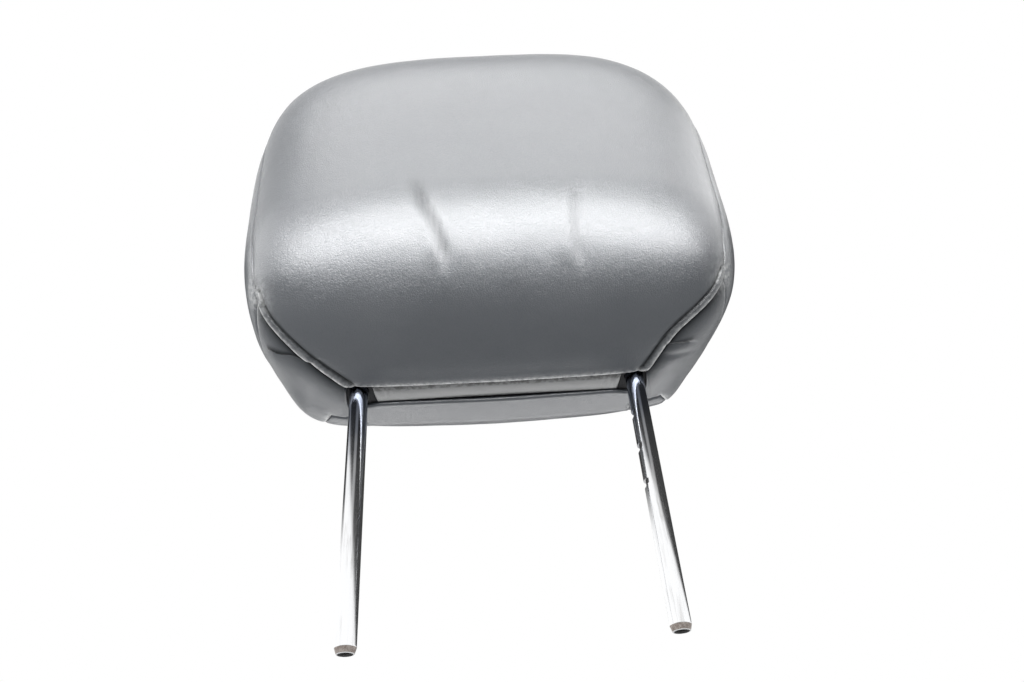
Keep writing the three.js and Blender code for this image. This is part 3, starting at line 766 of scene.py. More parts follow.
def rear_panel():
    bottom = lower_rim()
    across = spaced(lengths_along(bottom)[-1], REAR_GRID_STEP_ACROSS)
    up = spaced(REAR_GRID_HEIGHT, REAR_GRID_STEP_UP)
    left = mirrored(SIDE_SEAM)
    points = patch(bottom, TOP_SEAM, left, SIDE_SEAM, across, up, 1, REAR_BULGE_REACH)
    centres = (points[:-1, :-1] + points[1:, 1:] + points[1:, :-1] + points[:-1, 1:]) / 4
    aside = np.abs(centres[..., 0])
    is_low = centres[..., 2] < PAD_BOTTOM + SLIT_RISE
    in_slit = (aside > SLIT_INNER) & (aside < SLIT_OUTER) & is_low & (centres[..., 1] > 0)
    edges = [dense(bottom), UPPER_SEAMS]
    for x in (-SLIT_OUTER, -SLIT_INNER, SLIT_INNER, SLIT_OUTER):
        along = np.arange(TONGUE_FRONT, SLIT_END, SLIT_EDGE_STEP)
        edges.append(np.array([(x, y, PAD_BOTTOM) for y in along]))
    reach = np.arange(-TONGUE_FOLD_HALF, TONGUE_FOLD_HALF + TONGUE_FOLD_STEP, TONGUE_FOLD_STEP)
    fold = np.array([(x, TONGUE_FOLD_Y, PAD_BOTTOM) for x in reach])
    to_fold = distance_to(points, fold)
    extra = bell(to_fold, *TONGUE_FOLD)
    # Painted shade along the fold across the tongue
    fold_shade = bell(to_fold, *TONGUE_FOLD_SHADE)
    return panel("rear_cover", points, edges, extra, kept=~in_slit, shade_amount=fold_shade)


# The inserts' grid
INSERT_GRID_LENGTH = 95.0
INSERT_GRID_WIDTH = 45.0
INSERT_GRID_STEP = 0.8
INSERT_FINE_STEPS = FINE_STEPS[:14]


def side_insert(name, side):
    """The gusset under a lower seam, from the seam's corner down to the post's slot."""
    steps = spaced(INSERT_GRID_LENGTH, INSERT_GRID_STEP)
    across = spaced(INSERT_GRID_WIDTH, INSERT_GRID_STEP, INSERT_FINE_STEPS)
    hem = INSERT_SEAM[-1]
    rear_corner = (SLOT_OUTER, hem[1], PAD_BOTTOM)
    slot = on_pad(np.linspace(SLOT_CORNER, rear_corner, 90) - PAD_MIDDLE)
    rear_hem = on_pad(np.linspace(rear_corner, hem, 40) - PAD_MIDDLE)
    seam = LOWER_SEAM if side > 0 else mirrored(LEFT_LOWER_SEAM)
    lower = resampled(seam, steps)
    insert = resampled(np.vstack([rear_hem, INSERT_SEAM[::-1][1:]]), steps)
    s = across[None, :, None]
    points = on_pad(lower[:, None] * (1 - s) + insert[:, None] * s - PAD_MIDDLE)
    if side < 0:
        points = mirrored(points)
    # The last rows would shrink to a point at the corner
    points = points[:-2]
    rims = [slot, rear_hem, mirrored(slot), mirrored(rear_hem)]
    edges = [LOWER_SEAMS, INSERT_SEAMS] + [dense(rim) for rim in rims]
    to_lower = distance_to(points, LOWER_SEAMS)
    # Painted shade in the tuck under the lower seam, and painted shadow under each pocket's fold
    shade_amount = np.clip(rise_to(to_lower, *INSERT_TUCK_SHADE), 0.0, 1.0)
    for line, *_, strength in POCKETS:
        below = np.maximum(-beside_fold(points, line)[0] - POCKET_LIP, 0.0)
        fold_shade = ridge(points, line, strength, POCKET_SHADE_WIDTH)
        shade_amount = np.maximum(shade_amount, fold_shade * rise_to(below, 1.0, POCKET_SHADE_REACH))
    return panel(name, points, edges, tuck_relief(points), worn_and_lit_edges=INSERT_SEAMS, shade_amount=shade_amount)


# The strip: its form, its lines of stitches, and its painted shade and paleness in distances from
# its edges
STRIP_GRID_LENGTH = 135.0
STRIP_GRID_STEP = 1.0
STRIP_FINE_STEPS = FINE_STEPS[:12]
STRIP_ROWS = 33
STRIP_RISE = 1.3
STRIP_LEATHER = 1.1
STRIP_SINK = 0.3
STRIP_SLANT = 0.018
STRIP_SWELL_POWER = 0.6
STRIP_END_WIDTH = 2.0
STRIP_END_SHARE = 0.55
STRIP_UNEVEN = (0.18, 21.0, 5)
STRIP_LINES = (5.5, 9.0)
STRIP_LINE = (0.35, 0.9)
STRIP_FRONT_SHADE = (1.0, 3.6, 2.2)
STRIP_REAR_SHADE = (0.8, 2.0)
STRIP_WEAR_AND_HIGHLIGHT = (1.0, 0.8)


def closure_flap():
    """The soft strip across the underside between the post slots."""
    across = spaced(STRIP_GRID_LENGTH, STRIP_GRID_STEP, STRIP_FINE_STEPS)
    along = np.linspace(0.0, 1.0, STRIP_ROWS)
    (low_x, low_y, low_z), (high_x, high_y, _) = node_box("closure_flap")
    depth = high_y - low_y
    grid_x, grid_y = np.meshgrid(low_x + (high_x - low_x) * across, low_y + depth * along)
    # The ends slant, so that the front edge is the longer one
    grid_x = grid_x * (1.0 - STRIP_SLANT * along[:, None])
    swell = np.sin(np.pi * along)[:, None] ** STRIP_SWELL_POWER
    from_end = np.minimum(across, 1.0 - across) * STRIP_GRID_LENGTH
    ends = np.minimum(1.0, from_end / STRIP_END_WIDTH) ** 0.5
    puff = STRIP_RISE * swell * (STRIP_END_SHARE + (1.0 - STRIP_END_SHARE) * ends[None])
    height, size, seed = STRIP_UNEVEN
    level = np.stack([grid_x, grid_y, np.zeros_like(grid_x)], -1)
    puff = puff + height * rough(level, size, seed) * swell
    for side in (-1, 1):
        for inset in STRIP_LINES:
            line = np.abs(grid_x - side * (high_x - inset))
            puff = puff - bell(line, *STRIP_LINE) * swell
    base = low_z + STRIP_RISE + STRIP_SINK
    outer = np.stack([grid_x, grid_y, base - puff], -1)
    inner = np.stack([grid_x, grid_y, np.full_like(puff, base + STRIP_LEATHER)], -1)
    down = np.zeros_like(outer)
    down[..., 2] = -1.0
    from_front = np.broadcast_to(along[:, None] * depth, puff.shape)
    from_rear = depth - from_front
    # Painted shadow under the front panel's edge and painted shade along the rear edge; paler
    # towards the rear edge, for wear together with a painted highlight on its rounding
    painted_shade = shelf(from_front, *STRIP_FRONT_SHADE) + rise_to(from_rear, *STRIP_REAR_SHADE)
    marks = {"wear_and_highlight": rise_to(from_rear, *STRIP_WEAR_AND_HIGHLIGHT), "painted_shade": painted_shade}
    return shell("closure_strip", outer, inner, down, marks=marks)


# Tube and foam

def tube_faces(rings, sides, first=0):
    """The faces of a solid whose rings of points follow each other from the first point."""
    faces = []
    for k in range(rings - 1):
        a, b = first + k * sides, first + (k + 1) * sides
        for m in range(sides):
            n = (m + 1) % sides
            faces.append([a + m, a + n, b + n, b + m])
    last = first + (rings - 1) * sides
    return faces + [list(range(first, first + sides))[::-1], list(range(last, last + sides))]


def swept(name, path, sides, radii):
    """A solid tube along a path, with a flat end at each side."""
    rings = []
    tangents = unit(np.gradient(path, axis=0))
    aside = np.array([0.0, 1.0, 0.0])
    turns = (np.arange(sides) * 2 * math.pi / sides)[:, None]
    for place, along, radius in zip(path, tangents, radii):
        level = np.cross(aside, along)
        rings.append(place + radius * (np.cos(turns) * aside + np.sin(turns) * level))
    return place_mesh(name, np.vstack(rings), tube_faces(len(rings), sides))


def tube_path(foot):
    """The tube's middle line, from one post's foot, over the crossbar, down to the other."""
    leg = POST_X - TUBE_BEND_RADIUS
    bend_start = CROSSBAR_HEIGHT - TUBE_BEND_RADIUS
    left_leg = [(-POST_X, 0.0, z) for z in foot]
    right_bend = [
        (leg + TUBE_BEND_RADIUS * math.sin(a), 0.0, bend_start + TUBE_BEND_RADIUS * math.cos(a))
        for a in np.linspace(0.0, math.pi / 2, BEND_RINGS)
    ]
    left_bend = [(-x, y, z) for x, y, z in right_bend[::-1]]
    right_leg = [(POST_X, 0.0, z) for z in foot[::-1]]
    return np.array(left_leg + left_bend + right_bend + right_leg)


def notch(height):
    """A cutter for one ratchet notch: its floor slopes below, and its upper side is level."""
    wall = POST_X - POST_RADIUS
    mouth = NOTCH_MOUTH / 2
    profile = [
        (wall - OVERCUT, height - mouth - OVERCUT),
        (wall, height - mouth),
        (wall + NOTCH_DEPTH, height + mouth - NOTCH_FLOOR),
        (wall + NOTCH_DEPTH, height + mouth),
        (wall - OVERCUT, height + mouth),
    ]
    points = [(x, y, z) for y in (-NOTCH_HALF_LENGTH, NOTCH_HALF_LENGTH) for x, z in profile]
    return place_mesh("notch", points, tube_faces(2, len(profile)))


def post_tube():
    turns = np.linspace(0.0, math.pi / 2, EDGE_RINGS)
    tip = [TIP_LENGTH, TIP_LENGTH + TIP_SHOULDER]
    foot = np.concatenate([TIP_EDGE * (1 - np.cos(turns)), tip, LEG_RINGS])
    at_foot = np.interp(foot, [0.0, TIP_LENGTH], [TIP_RADIUS, POST_RADIUS])
    at_foot[:EDGE_RINGS] -= TIP_EDGE * (1 - np.sin(turns))
    path = tube_path(foot)
    radii = np.full(len(path), POST_RADIUS)
    radii[: len(foot)] = at_foot
    radii[-len(foot):] = at_foot[::-1]
    tube = swept("post_tube", path, TUBE_SIDES, radii)
    bore_path = tube_path(np.concatenate([[-OVERCUT, 0.0, MOUTH_DEPTH], LEG_RINGS]))
    bore_radii = np.full(len(bore_path), BORE_RADIUS)
    for k, radius in enumerate((MOUTH_RADIUS + MOUTH_FLARE, MOUTH_RADIUS)):
        bore_radii[k] = radius
        bore_radii[-1 - k] = radius
    bore = swept("bore", bore_path, BORE_SIDES, bore_radii)
    notches = [notch(height) for height in NOTCH_HEIGHTS]
    turn_outwards(tube)
    cut_away(tube, [bore] + notches)
    keep_sharp(tube, degrees=32.0)
    return tube


def block(name, low, high):
    corners = [(x, y, z) for x in (0, 1) for y in (0, 1) for z in (0, 1)]
    points = [low + (high - low) * np.array(corner) for corner in corners]
    faces = [(0, 1, 3, 2), (4, 6, 7, 5), (0, 4, 5, 1), (2, 3, 7, 6), (0, 2, 6, 4), (1, 5, 7, 3)]
    return place_mesh(name, points, faces)


def foam_core():
    """The foam under the cover, with room for the tube, the plate, the hooks and the flap."""
    ball = bmesh.new()
    bmesh.ops.create_icosphere(ball, subdivisions=6, radius=1.0)
    places = on_pad(np.array([tuple(v.co) for v in ball.verts]))
    pressed = np.maximum(body_relief(places) + seam_relief(places), 0.0) + tuck_relief(places)
    for vert, place in zip(ball.verts, places):
        vert.co = Vector(place)
    ball.normal_update()
    for vert, place, depth in zip(ball.verts, places, pressed):
        vert.co = (Vector(place) - vert.normal * (FOAM_INSET + depth)) * MM
    mesh = bpy.data.meshes.new("foam_core")
    ball.to_mesh(mesh)
    ball.free()
    mesh.shade_smooth()
    foam = place_object("foam_core", mesh)
    path = tube_path(ROOM_RINGS)
    rooms = [swept("tube_room", path, BORE_SIDES, np.full(len(path), POST_RADIUS + ROOM))]
    for name in ("armature_plate", "closure_hook_front", "closure_hook_rear", "closure_flap"):
        low, high = node_box(name)
        rooms.append(block(name + "_room", low - ROOM, high + ROOM))
    cut_away(foam, rooms)
    keep_sharp(foam, degrees=50.0)
    return foam


# Materials: lengths are in metres, and the scale of a pattern is how many fit in a metre

class Nodes:
    """A node tree, of a new material or of the world, with its shader at hand."""

    def __init__(self, name, world=None):
        if world:
            world.use_nodes = True
            self.tree = world.node_tree
            self.tree.nodes.clear()
            self.place = self.add("ShaderNodeTexCoord").outputs["Generated"]
            return
        self.material = bpy.data.materials.new(name)
        self.material.use_nodes = True
        self.tree = self.material.node_tree
        self.shader = self.tree.nodes["Principled BSDF"]
        self.place = self.add("ShaderNodeTexCoord").outputs["Object"]

    def add(self, kind, **values):
        node = self.tree.nodes.new(kind)
        for name, value in values.items():
            setattr(node, name, value)
        return node

    def link(self, source, target):
        self.tree.links.new(source, target)

    def give(self, socket, value):
        """Links an output to a socket, or sets the socket to a constant."""
        if isinstance(value, bpy.types.NodeSocket):
            self.link(value, socket)
        else:
            socket.default_value = value

    def set(self, node, **values):
        for name, value in values.items():
            self.give(node.inputs[name.replace("_", " ")], value)

    def noise(self, scale, detail=3.0, roughness=0.55, place=None):
        node = self.add("ShaderNodeTexNoise")
        vector = place or self.place
        self.set(node, Vector=vector, Scale=scale, Detail=detail, Roughness=roughness)
        return node.outputs["Fac"]

    def cells(self, scale, feature, place=None):
        node = self.add("ShaderNodeTexVoronoi", feature=feature)
        self.set(node, Vector=place or self.place, Scale=scale)
        return node.outputs["Distance"]

    def stretched(self, x, y, z):
        node = self.add("ShaderNodeMapping")
        self.set(node, Vector=self.place, Scale=(x, y, z))
        return node.outputs["Vector"]

    def warped(self, scale, amount):
        """The place, pushed about by noise, so that a pattern doesn't look ruled."""
        noise = self.add("ShaderNodeTexNoise")
        self.set(noise, Vector=self.place, Scale=scale, Detail=2.0)
        push = self.add("ShaderNodeVectorMath", operation="MULTIPLY_ADD")
        self.link(noise.outputs["Color"], push.inputs[0])
        push.inputs[1].default_value = (amount, amount, amount)
        self.link(self.place, push.inputs[2])
        return push.outputs["Vector"]

    def remap(self, value, low, high, to_low=0.0, to_high=1.0):
        node = self.add("ShaderNodeMapRange")
        self.set(node, Value=value, From_Min=low, From_Max=high, To_Min=to_low, To_Max=to_high)
        return node.outputs["Result"]

    def step(self, value, low, high):
        """A soft step from 0 to 1."""
        node = self.add("ShaderNodeMapRange", interpolation_type="SMOOTHSTEP")
        self.set(node, Value=value, From_Min=low, From_Max=high)
        return node.outputs["Result"]

    def math(self, operation, a, b):
        node = self.add("ShaderNodeMath", operation=operation)
        self.give(node.inputs[0], a)
        self.give(node.inputs[1], b)
        return node.outputs["Value"]

    def times(self, a, b):
        return self.math("MULTIPLY", a, b)

    def mix(self, factor, a, b):
        node = self.add("ShaderNodeMix", data_type="RGBA")
        for index, value in ((0, factor), (6, a), (7, b)):
            self.give(node.inputs[index], value)
        return node.outputs[2]

    def attribute(self, name):
        return self.add("ShaderNodeAttribute", attribute_name=name).outputs["Fac"]

    def bump(self, height, distance, strength=1.0, normal=None):
        node = self.add("ShaderNodeBump")
        self.set(node, Height=height, Distance=distance, Strength=strength)
        if normal is not None:
            self.link(normal, node.inputs["Normal"])
        return node.outputs["Normal"]

    def finish(self, base, roughness, normal, metallic=0.0):
        """Sets the shader's inputs and returns the material."""
        self.set(self.shader, Base_Color=base, Roughness=roughness, Metallic=metallic)
        self.link(normal, self.shader.inputs["Normal"])
        return self.material


def shade(r, g, b):
    return (r, g, b, 1.0)


def grey(value):
    return shade(value, value, value)


LEATHER_SHADES = (shade(0.07, 0.078, 0.089), shade(0.08, 0.088, 0.099))
LEATHER_GRAIN_SHADE = shade(0.05, 0.054, 0.062)
# Painted shade for the creases, folds, tucks and seams
LEATHER_PAINTED_SHADE = shade(0.008, 0.009, 0.01)
# Pale edges: wear, together with a painted highlight along the rolled edges
LEATHER_WORN_AND_LIT_SHADE = shade(0.7, 0.71, 0.71)
VINYL_SHADES = (shade(0.105, 0.11, 0.112), shade(0.125, 0.13, 0.132))
# Painted shade on the strip, and its pale colour for wear together with a painted highlight
VINYL_PAINTED_SHADE = shade(0.015, 0.015, 0.016)
VINYL_WORN_AND_LIT_SHADE = shade(0.4, 0.4, 0.39)
# Dark grey foam, which also stands in for the shade seen in the post slots
FOAM_SHADES = (shade(0.04, 0.041, 0.043), shade(0.05, 0.051, 0.053))
FOAM_PORE_SHADE = shade(0.02, 0.02, 0.021)
CHROME_SHADES = (shade(0.8, 0.805, 0.815), grey(0.68))
# Painted reflection: the dark cushion seen in the chrome near the cover
CHROME_DARK_REFLECTION = shade(0.2, 0.22, 0.27)
PLASTIC_SHADES = (shade(0.026, 0.026, 0.028), shade(0.036, 0.036, 0.038))
TIP_SHADES = (shade(0.42, 0.38, 0.35), shade(0.24, 0.2, 0.18))
# Near black inside the bore: painted shade
BORE_PAINTED_SHADES = (grey(0.035), grey(0.02))
STEEL_SHADES = (shade(0.11, 0.11, 0.12), shade(0.15, 0.15, 0.155))
THREAD_SHADES = (grey(0.2), shade(0.32, 0.32, 0.31))
# A painted dark reflection of the cushion darkens the chrome from just below the cover up
DARK_REFLECTION_FROM = 0.07
DARK_REFLECTION_TO = 0.128
DARK_REFLECTION_WANDER = 0.008


def leather_material():
    n = Nodes("dark_grey_leather")
    warp = n.warped(260.0, 0.0016)
    grain_lines = n.remap(n.cells(820.0, "DISTANCE_TO_EDGE", warp), 0.0, 0.16)
    pores = n.cells(2300.0, "F1", warp)
    drift = n.noise(26.0)
    patches = n.noise(9.0)
    base = n.mix(n.remap(drift, 0.3, 0.7), *LEATHER_SHADES)
    base = n.mix(n.remap(grain_lines, 0.0, 1.0, 0.22, 0.0), base, LEATHER_GRAIN_SHADE)
    uneven = n.remap(n.noise(420.0, 4.0), 0.36, 0.6, 0.25, 1.0)
    # Painted shade in the creases, folds, tucks and seams darkens the leather and takes away its
    # gloss; the edges are painted pale, for wear together with a painted highlight
    wear_and_highlight = n.times(n.attribute("wear_and_highlight"), uneven)
    painted_shade = n.attribute("painted_shade")
    base = n.mix(painted_shade, base, LEATHER_PAINTED_SHADE)
    base = n.mix(wear_and_highlight, base, LEATHER_WORN_AND_LIT_SHADE)
    roughness = n.math("ADD", n.remap(patches, 0.3, 0.7, 0.29, 0.35), n.times(wear_and_highlight, 0.2))
    n.link(n.remap(painted_shade, 0.0, 1.0, 0.55, 0.0), n.shader.inputs["Specular IOR Level"])
    grain = n.bump(grain_lines, 0.00004)
    grain = n.bump(pores, 0.00002, normal=grain)
    grain = n.bump(n.noise(160.0, 4.0), 0.0002, 0.55, grain)
    return n.finish(base, roughness, grain)


def vinyl_material():
    n = Nodes("grey_strip_vinyl")
    weave = n.cells(1500.0, "F1", n.warped(300.0, 0.001))
    drift = n.noise(60.0)
    base = n.mix(n.remap(drift, 0.3, 0.7), *VINYL_SHADES)
    # Painted shade, broken up by noise, then pale spots for wear together with a painted highlight
    broken_shade = n.remap(n.noise(350.0, 4.0), 0.42, 0.58, 0.35, 1.0)
    base = n.mix(n.times(n.attribute("painted_shade"), broken_shade), base, VINYL_PAINTED_SHADE)
    spotted = n.remap(n.noise(500.0), 0.5, 0.6, 0.0, 0.7)
    base = n.mix(n.times(n.attribute("wear_and_highlight"), spotted), base, VINYL_WORN_AND_LIT_SHADE)
    grain = n.bump(n.noise(200.0), 0.0002, 0.5, n.bump(weave, 0.00005))
    return n.finish(base, n.remap(drift, 0.2, 0.8, 0.36, 0.46), grain)


def foam_material():
    n = Nodes("dark_grey_foam")
    cells = n.cells(1600.0, "F1")
    base = n.mix(n.remap(n.noise(90.0), 0.3, 0.7), *FOAM_SHADES)
    base = n.mix(n.remap(cells, 0.1, 0.5, 0.4, 0.0), base, FOAM_PORE_SHADE)
    return n.finish(base, n.remap(cells, 0.0, 1.0, 0.9, 1.0), n.bump(cells, 0.0004))


def chrome_material():
    n = Nodes("chrome")
    scuffs = n.noise(900.0, 4.0, 0.6, n.stretched(1.0, 1.0, 0.05))
    clouds = n.noise(45.0)
    dull = n.times(n.remap(scuffs, 0.52, 0.68), n.remap(clouds, 0.45, 0.6, 0.1, 1.0))
    axes = n.add("ShaderNodeSeparateXYZ")
    n.link(n.place, axes.inputs[0])
    # Painted reflection of the dark cushion, with a wandering lower edge
    wander = n.remap(clouds, 0.3, 0.7, -DARK_REFLECTION_WANDER, DARK_REFLECTION_WANDER)
    dark_reflection = n.step(n.math("ADD", axes.outputs[2], wander), DARK_REFLECTION_FROM, DARK_REFLECTION_TO)
    base = n.mix(dark_reflection, n.mix(dull, *CHROME_SHADES), CHROME_DARK_REFLECTION)
    return n.finish(base, n.remap(dull, 0.0, 1.0, 0.09, 0.2), n.bump(scuffs, 0.00001, 0.6), 1.0)


def plastic_material():
    n = Nodes("black_hook_plastic")
    spark = n.noise(1400.0, 2.0)
    base = n.mix(n.noise(40.0), *PLASTIC_SHADES)
    return n.finish(base, n.remap(spark, 0.3, 0.7, 0.45, 0.6), n.bump(spark, 0.00003))


def speckled(name, scale, detail, span, shades, roughness, depth, metallic=0.0):
    """A plain material with two shades and a roughness that follow fine noise. The span is
    the part of the noise over which one shade gives way to the other."""
    n = Nodes(name)
    spots = n.noise(scale, detail)
    base = n.mix(n.remap(spots, *span), *shades)
    return n.finish(base, n.remap(spots, 0.3, 0.7, *roughness), n.bump(spots, depth), metallic)


# Stitches
STITCH_PITCH = 4.2
STITCH_LENGTH = 3.1
STITCH_SIDES = 8
STITCH_RINGS = 7
THREAD_RADIUS = 0.32
THREAD_END_SHARE = 0.55
THREAD_BOW = 1.5
THREAD_SINK = 0.7
AHEAD_STEP = 0.2


def stitches(name, curve, normals, radius):
    """Short lengths of thread, each sunk a little at both ends, along a curve."""
    along = lengths_along(curve)

    def at(length, values=curve):
        return np.array([np.interp(length, along, values[:, c]) for c in range(3)])

    vertices, faces = [], []
    for k in range(int(along[-1] / STITCH_PITCH)):
        start = (k + 0.5) * STITCH_PITCH - STITCH_LENGTH / 2
        for j in range(STITCH_RINGS):
            share = j / (STITCH_RINGS - 1)
            length = start + STITCH_LENGTH * share
            place, out = at(length), unit(at(length, normals))
            ahead = at(length + AHEAD_STEP) - place
            if np.linalg.norm(ahead) < TINY:
                ahead = place - at(length - AHEAD_STEP)
            aside = np.cross(out, unit(ahead))
            bow = math.sin(math.pi * share)
            size = radius * (THREAD_END_SHARE + (1.0 - THREAD_END_SHARE) * bow)
            centre = place + out * (radius * (THREAD_BOW * bow - THREAD_SINK))
            for m in range(STITCH_SIDES):
                turn = 2 * math.pi * m / STITCH_SIDES
                vertices.append(centre + size * (math.cos(turn) * aside + math.sin(turn) * out))
        faces += tube_faces(STITCH_RINGS, STITCH_SIDES, k * STITCH_SIDES * STITCH_RINGS)
    obj = place_mesh(name, vertices, faces)
    turn_outwards(obj)
    return obj


def on_surface(obj, places):
    """The nearest places on a mesh, and the normals there."""
    found, normals = [], []
    for place in places:
        _, near, normal, _ = obj.closest_point_on_mesh(Vector(place * MM))
        found.append(np.array(near) / MM)
        normals.append(np.array(normal))
    return np.array(found), np.array(normals)


def topstitch(name, cover, side):
    """A row of stitches on the front panel, a little in from its lower seam."""
    seam = dense(LOWER_SEAM if side > 0 else mirrored(LEFT_LOWER_SEAM), 1.0)
    inward = np.cross(unit(np.gradient(seam, axis=0)), unit(seam - PAD_MIDDLE))
    row = seam + inward * TOPSTITCH_OFFSET * np.sign(inward[:, 2].mean())
    if side < 0:
        row = mirrored(row)
    found, normals = on_surface(cover, row)
    return stitches(name, found, normals, THREAD_RADIUS)


# The pieces

LEATHER = leather_material()
VINYL = vinyl_material()
FOAM = foam_material()
CHROME = chrome_material()
TIP_STEEL = speckled("worn_tip", 700.0, 4.0, (0.35, 0.65), TIP_SHADES, (0.4, 0.52), 0.00004, 0.7)
BORE_PAINTED_SHADE = speckled("painted_shade_bore", 700.0, 4.0, (0.35, 0.65), BORE_PAINTED_SHADES, (0.6, 0.72), 0.00004)
STEEL = speckled("black_coated_steel", 300.0, 4.0, (0.4, 0.65), STEEL_SHADES, (0.42, 0.58), 0.00006)
PLASTIC = plastic_material()
THREAD = speckled("grey_thread", 1500.0, 2.0, (0.0, 1.0), THREAD_SHADES, (0.6, 0.8), 0.0001)


def give_material(obj, material):
    obj.data.materials.clear()
    obj.data.materials.append(material)


def dress(obj, material, slot, *nodes):
    give_material(obj, material)
    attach(obj, "root")
    if nodes:
        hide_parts(*nodes)


def paint_tips(tube):
    """Gives the coned tips their own metal, and the inside of the posts a near black that paints
    the shade there.
    """
    tube.data.materials.append(TIP_STEEL)
    tube.data.materials.append(BORE_PAINTED_SHADE)
    for face in tube.data.polygons:
        x, y, z = (value / MM for value in face.center)
        from_axis = math.hypot(abs(x) - POST_X, y)
        is_ring = face.normal.z < -0.9 and z < TIP_EDGE
        if from_axis < MOUTH_RADIUS + 0.05 and not is_ring:
            face.material_index = 2
        elif TIP_EDGE < z < TIP_LENGTH:
            face.material_index = 1


front = front_panel()
dress(front, LEATHER, "cover_leather", "front_panel")
rear = rear_panel()
dress(rear, LEATHER, "cover_leather", "rear_panel")
left_insert = side_insert("left_insert_cover", -1)
dress(left_insert, LEATHER, "cover_leather", "side_insert_left")
right_insert = side_insert("right_insert_cover", 1)
dress(right_insert, LEATHER, "cover_leather", "side_insert_right")
strip = closure_flap()
dress(strip, VINYL, "flap_vinyl", "closure_flap")
foam = foam_core()
dress(foam, FOAM, "foam", "foam_cushion")
tube = post_tube()
dress(tube, CHROME, "chrome_tube", "post_frame")
paint_tips(tube)

for name, side in (("left_topstitch", -1), ("right_topstitch", 1)):
    thread = topstitch(name, front, side)
    dress(thread, THREAD, "cover_leather")

for node, material in (
    ("armature_plate", STEEL),
    ("closure_hook_front", PLASTIC),
    ("closure_hook_rear", PLASTIC),
):
    give_material(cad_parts[node], material)


# Stage

FLOOR_HEIGHT = -105.0
FLOOR_SIZE = 6000.0
FLOOR_CORNERS = ((-1, -1), (1, -1), (1, 1), (-1, 1))


def floor_material():
    n = Nodes("pale_floor")
    n.set(n.shader, Base_Color=n.mix(n.noise(0.8), grey(0.86), grey(0.9)), Roughness=0.85)
    return n.material


floor = place_mesh(
    "pale_floor",
    [(x * FLOOR_SIZE, y * FLOOR_SIZE, FLOOR_HEIGHT) for x, y in FLOOR_CORNERS],
    [(0, 1, 2, 3)],
)
floor.data.materials.append(floor_material())

# The world: strengths of its soft light and of the white room that gloss sees
SOFT_LIGHT = 0.55
ROOM_WHITE = 1.25
ROOM_BLACK = 0.04
FRONT_DARKNESS = 0.93
SIDE_DARKNESS = 0.95
STREAK_LIGHT = 0.3
# Where the room turns dark or light again, as the direction's Y, its Z or its bearing, which
# is 0 ahead of the front and above 0 to the right. The right side's darkness starts further
# ahead the higher it is.
FRONT_TURN = (-0.2, -0.75)
FRONT_TOP = (0.14, -0.02)
ONSET_RISE = (0.22, 0.5)
ONSET_BEARING = (2.6, -1.7)
RIGHT_TURN = (-0.2, 0.35)
LEFT_TURN = (-1.5, -1.9)
LEFT_BOTTOM = (0.34, 0.42)
SIDE_TOP = (0.68, 0.58)
STREAK_LEFT = (-0.35, -0.05)
STREAK_RIGHT = (0.45, 0.2)


def lit_world():
    """White for the camera. Gloss sees a white room that is dark low in front, where the
    camera stands, and in a belt that climbs from the right round to the left, with a paler
    streak ahead. The rest is an even soft light."""
    world = bpy.data.worlds.new("soft_studio")
    bpy.context.scene.world = world
    n = Nodes("world", world)
    axes = n.add("ShaderNodeSeparateXYZ")
    n.link(n.place, axes.inputs[0])
    x, y, z = axes.outputs
    low_front = n.times(n.step(y, *FRONT_TURN), n.step(z, *FRONT_TOP))
    bearing = n.math("ARCTAN2", x, n.times(y, -1.0))
    onset = n.remap(z, *ONSET_RISE, *ONSET_BEARING)
    right = n.step(n.math("SUBTRACT", bearing, onset), *RIGHT_TURN)
    left = n.times(n.step(bearing, *LEFT_TURN), n.step(z, *LEFT_BOTTOM))
    dark = n.times(n.math("MAXIMUM", right, left), n.step(z, *SIDE_TOP))
    streak = n.times(n.step(bearing, *STREAK_LEFT), n.step(bearing, *STREAK_RIGHT))
    streak = n.times(n.times(streak, dark), STREAK_LIGHT)
    dark = n.times(n.math("SUBTRACT", dark, streak), SIDE_DARKNESS)
    dark = n.math("ADD", n.times(low_front, FRONT_DARKNESS), dark)
    gloss = n.math("MAXIMUM", n.math("SUBTRACT", 1.0, dark), ROOM_BLACK)
    gloss = n.times(gloss, ROOM_WHITE)

    def background(strength):
        node = n.add("ShaderNodeBackground")
        n.set(node, Color=grey(1.0), Strength=strength)
        return node.outputs[0]

    def either(factor, shader_a, shader_b):
        node = n.add("ShaderNodeMixShader")
        for socket, source in zip(node.inputs, (factor, shader_a, shader_b)):
            n.link(source, socket)
        return node.outputs[0]

    path = n.add("ShaderNodeLightPath").outputs
    lit = either(path["Is Glossy Ray"], background(SOFT_LIGHT), background(gloss))
    seen = n.math("MAXIMUM", path["Is Camera Ray"], path["Is Transmission Ray"])
    shown = either(seen, lit, background(1.0))
    n.link(shown, n.add("ShaderNodeOutputWorld").inputs["Surface"])


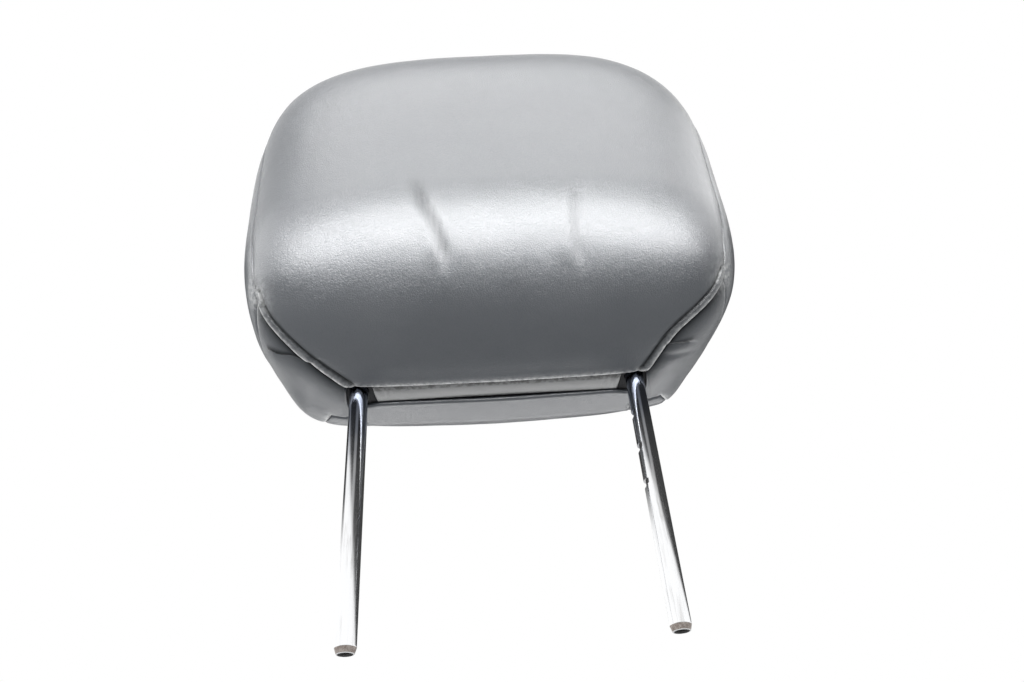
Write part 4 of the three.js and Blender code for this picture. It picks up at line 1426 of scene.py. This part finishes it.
# Lamps, all aimed at the cushion: the place, width and height in metres and the power in
# watts. The first ones leave gloss alone, and the others add only gloss, to leather pieces.
CUSHION_CENTRE = (0.0, -0.02, 0.23)
LIGHTING_LAMPS = (
    ("key", (-0.3, -1.3, 0.9), 1.5, 1.0, 12.0),
    ("left_fill", (-1.4, -0.3, 0.3), 0.9, 1.2, 5.0),
    ("rear_fill", (0.4, 1.5, 1.0), 1.2, 1.0, 6.0),
)
GLOSS_LAMPS = (
    ("band_gloss", (0.03, -0.72, 0.185), 1.9, 0.45, 60.0),
    ("upper_gloss", (0.0, -1.1, 1.45), 2.4, 1.4, 70.0),
    ("left_gloss", (-1.2, -0.3, 0.62), 1.2, 0.9, 14.0),
    ("right_gloss", (1.2, -0.25, 0.95), 1.2, 0.9, 15.0),
    ("under_gloss", (0.0, 0.36, -0.05), 1.1, 0.16, 2.4),
)
LEATHER_PIECES = (front, rear, left_insert, right_insert, strip)


def softbox(name, place, width, height, power):
    """A rectangular lamp that the camera doesn't see."""
    light = bpy.data.lights.new(name, "AREA")
    light.shape = "RECTANGLE"
    light.size = width
    light.size_y = height
    light.energy = power
    lamp = place_object(name, light)
    turned = (Vector(place) - Vector(CUSHION_CENTRE)).to_track_quat("Z", "Y").to_matrix()
    lamp.matrix_world = Matrix.Translation(place) @ turned.to_4x4()
    lamp.visible_camera = False
    return lamp


def place_lamps():
    for values in LIGHTING_LAMPS:
        softbox(*values).visible_glossy = False
    for values in GLOSS_LAMPS:
        lamp = softbox(*values)
        lamp.visible_diffuse = False
        chosen = bpy.data.collections.new(lamp.name + "_receivers")
        for piece in LEATHER_PIECES:
            chosen.objects.link(piece)
        lamp.light_linking.receiver_collection = chosen


def camera_at_photo():
    lens = bpy.data.cameras.new("photo_camera")
    lens.sensor_width = SENSOR_WIDTH
    lens.lens = FOCAL_PIXELS / IMAGE_WIDTH * SENSOR_WIDTH
    lens.clip_start = NEAREST_SEEN
    camera = place_object("photo_camera", lens)
    camera.matrix_world = (
        Matrix.Translation(Vector(CAMERA_PLACE) * MM)
        @ Matrix.Rotation(-CAMERA_YAW, 4, "Z")
        @ Matrix.Rotation(math.pi / 2 + CAMERA_PITCH, 4, "X")
        @ Matrix.Rotation(CAMERA_ROLL, 4, "Z")
    )
    bpy.context.scene.camera = camera


lit_world()
place_lamps()
camera_at_photo()
bpy.context.scene.view_settings.view_transform = "Standard"
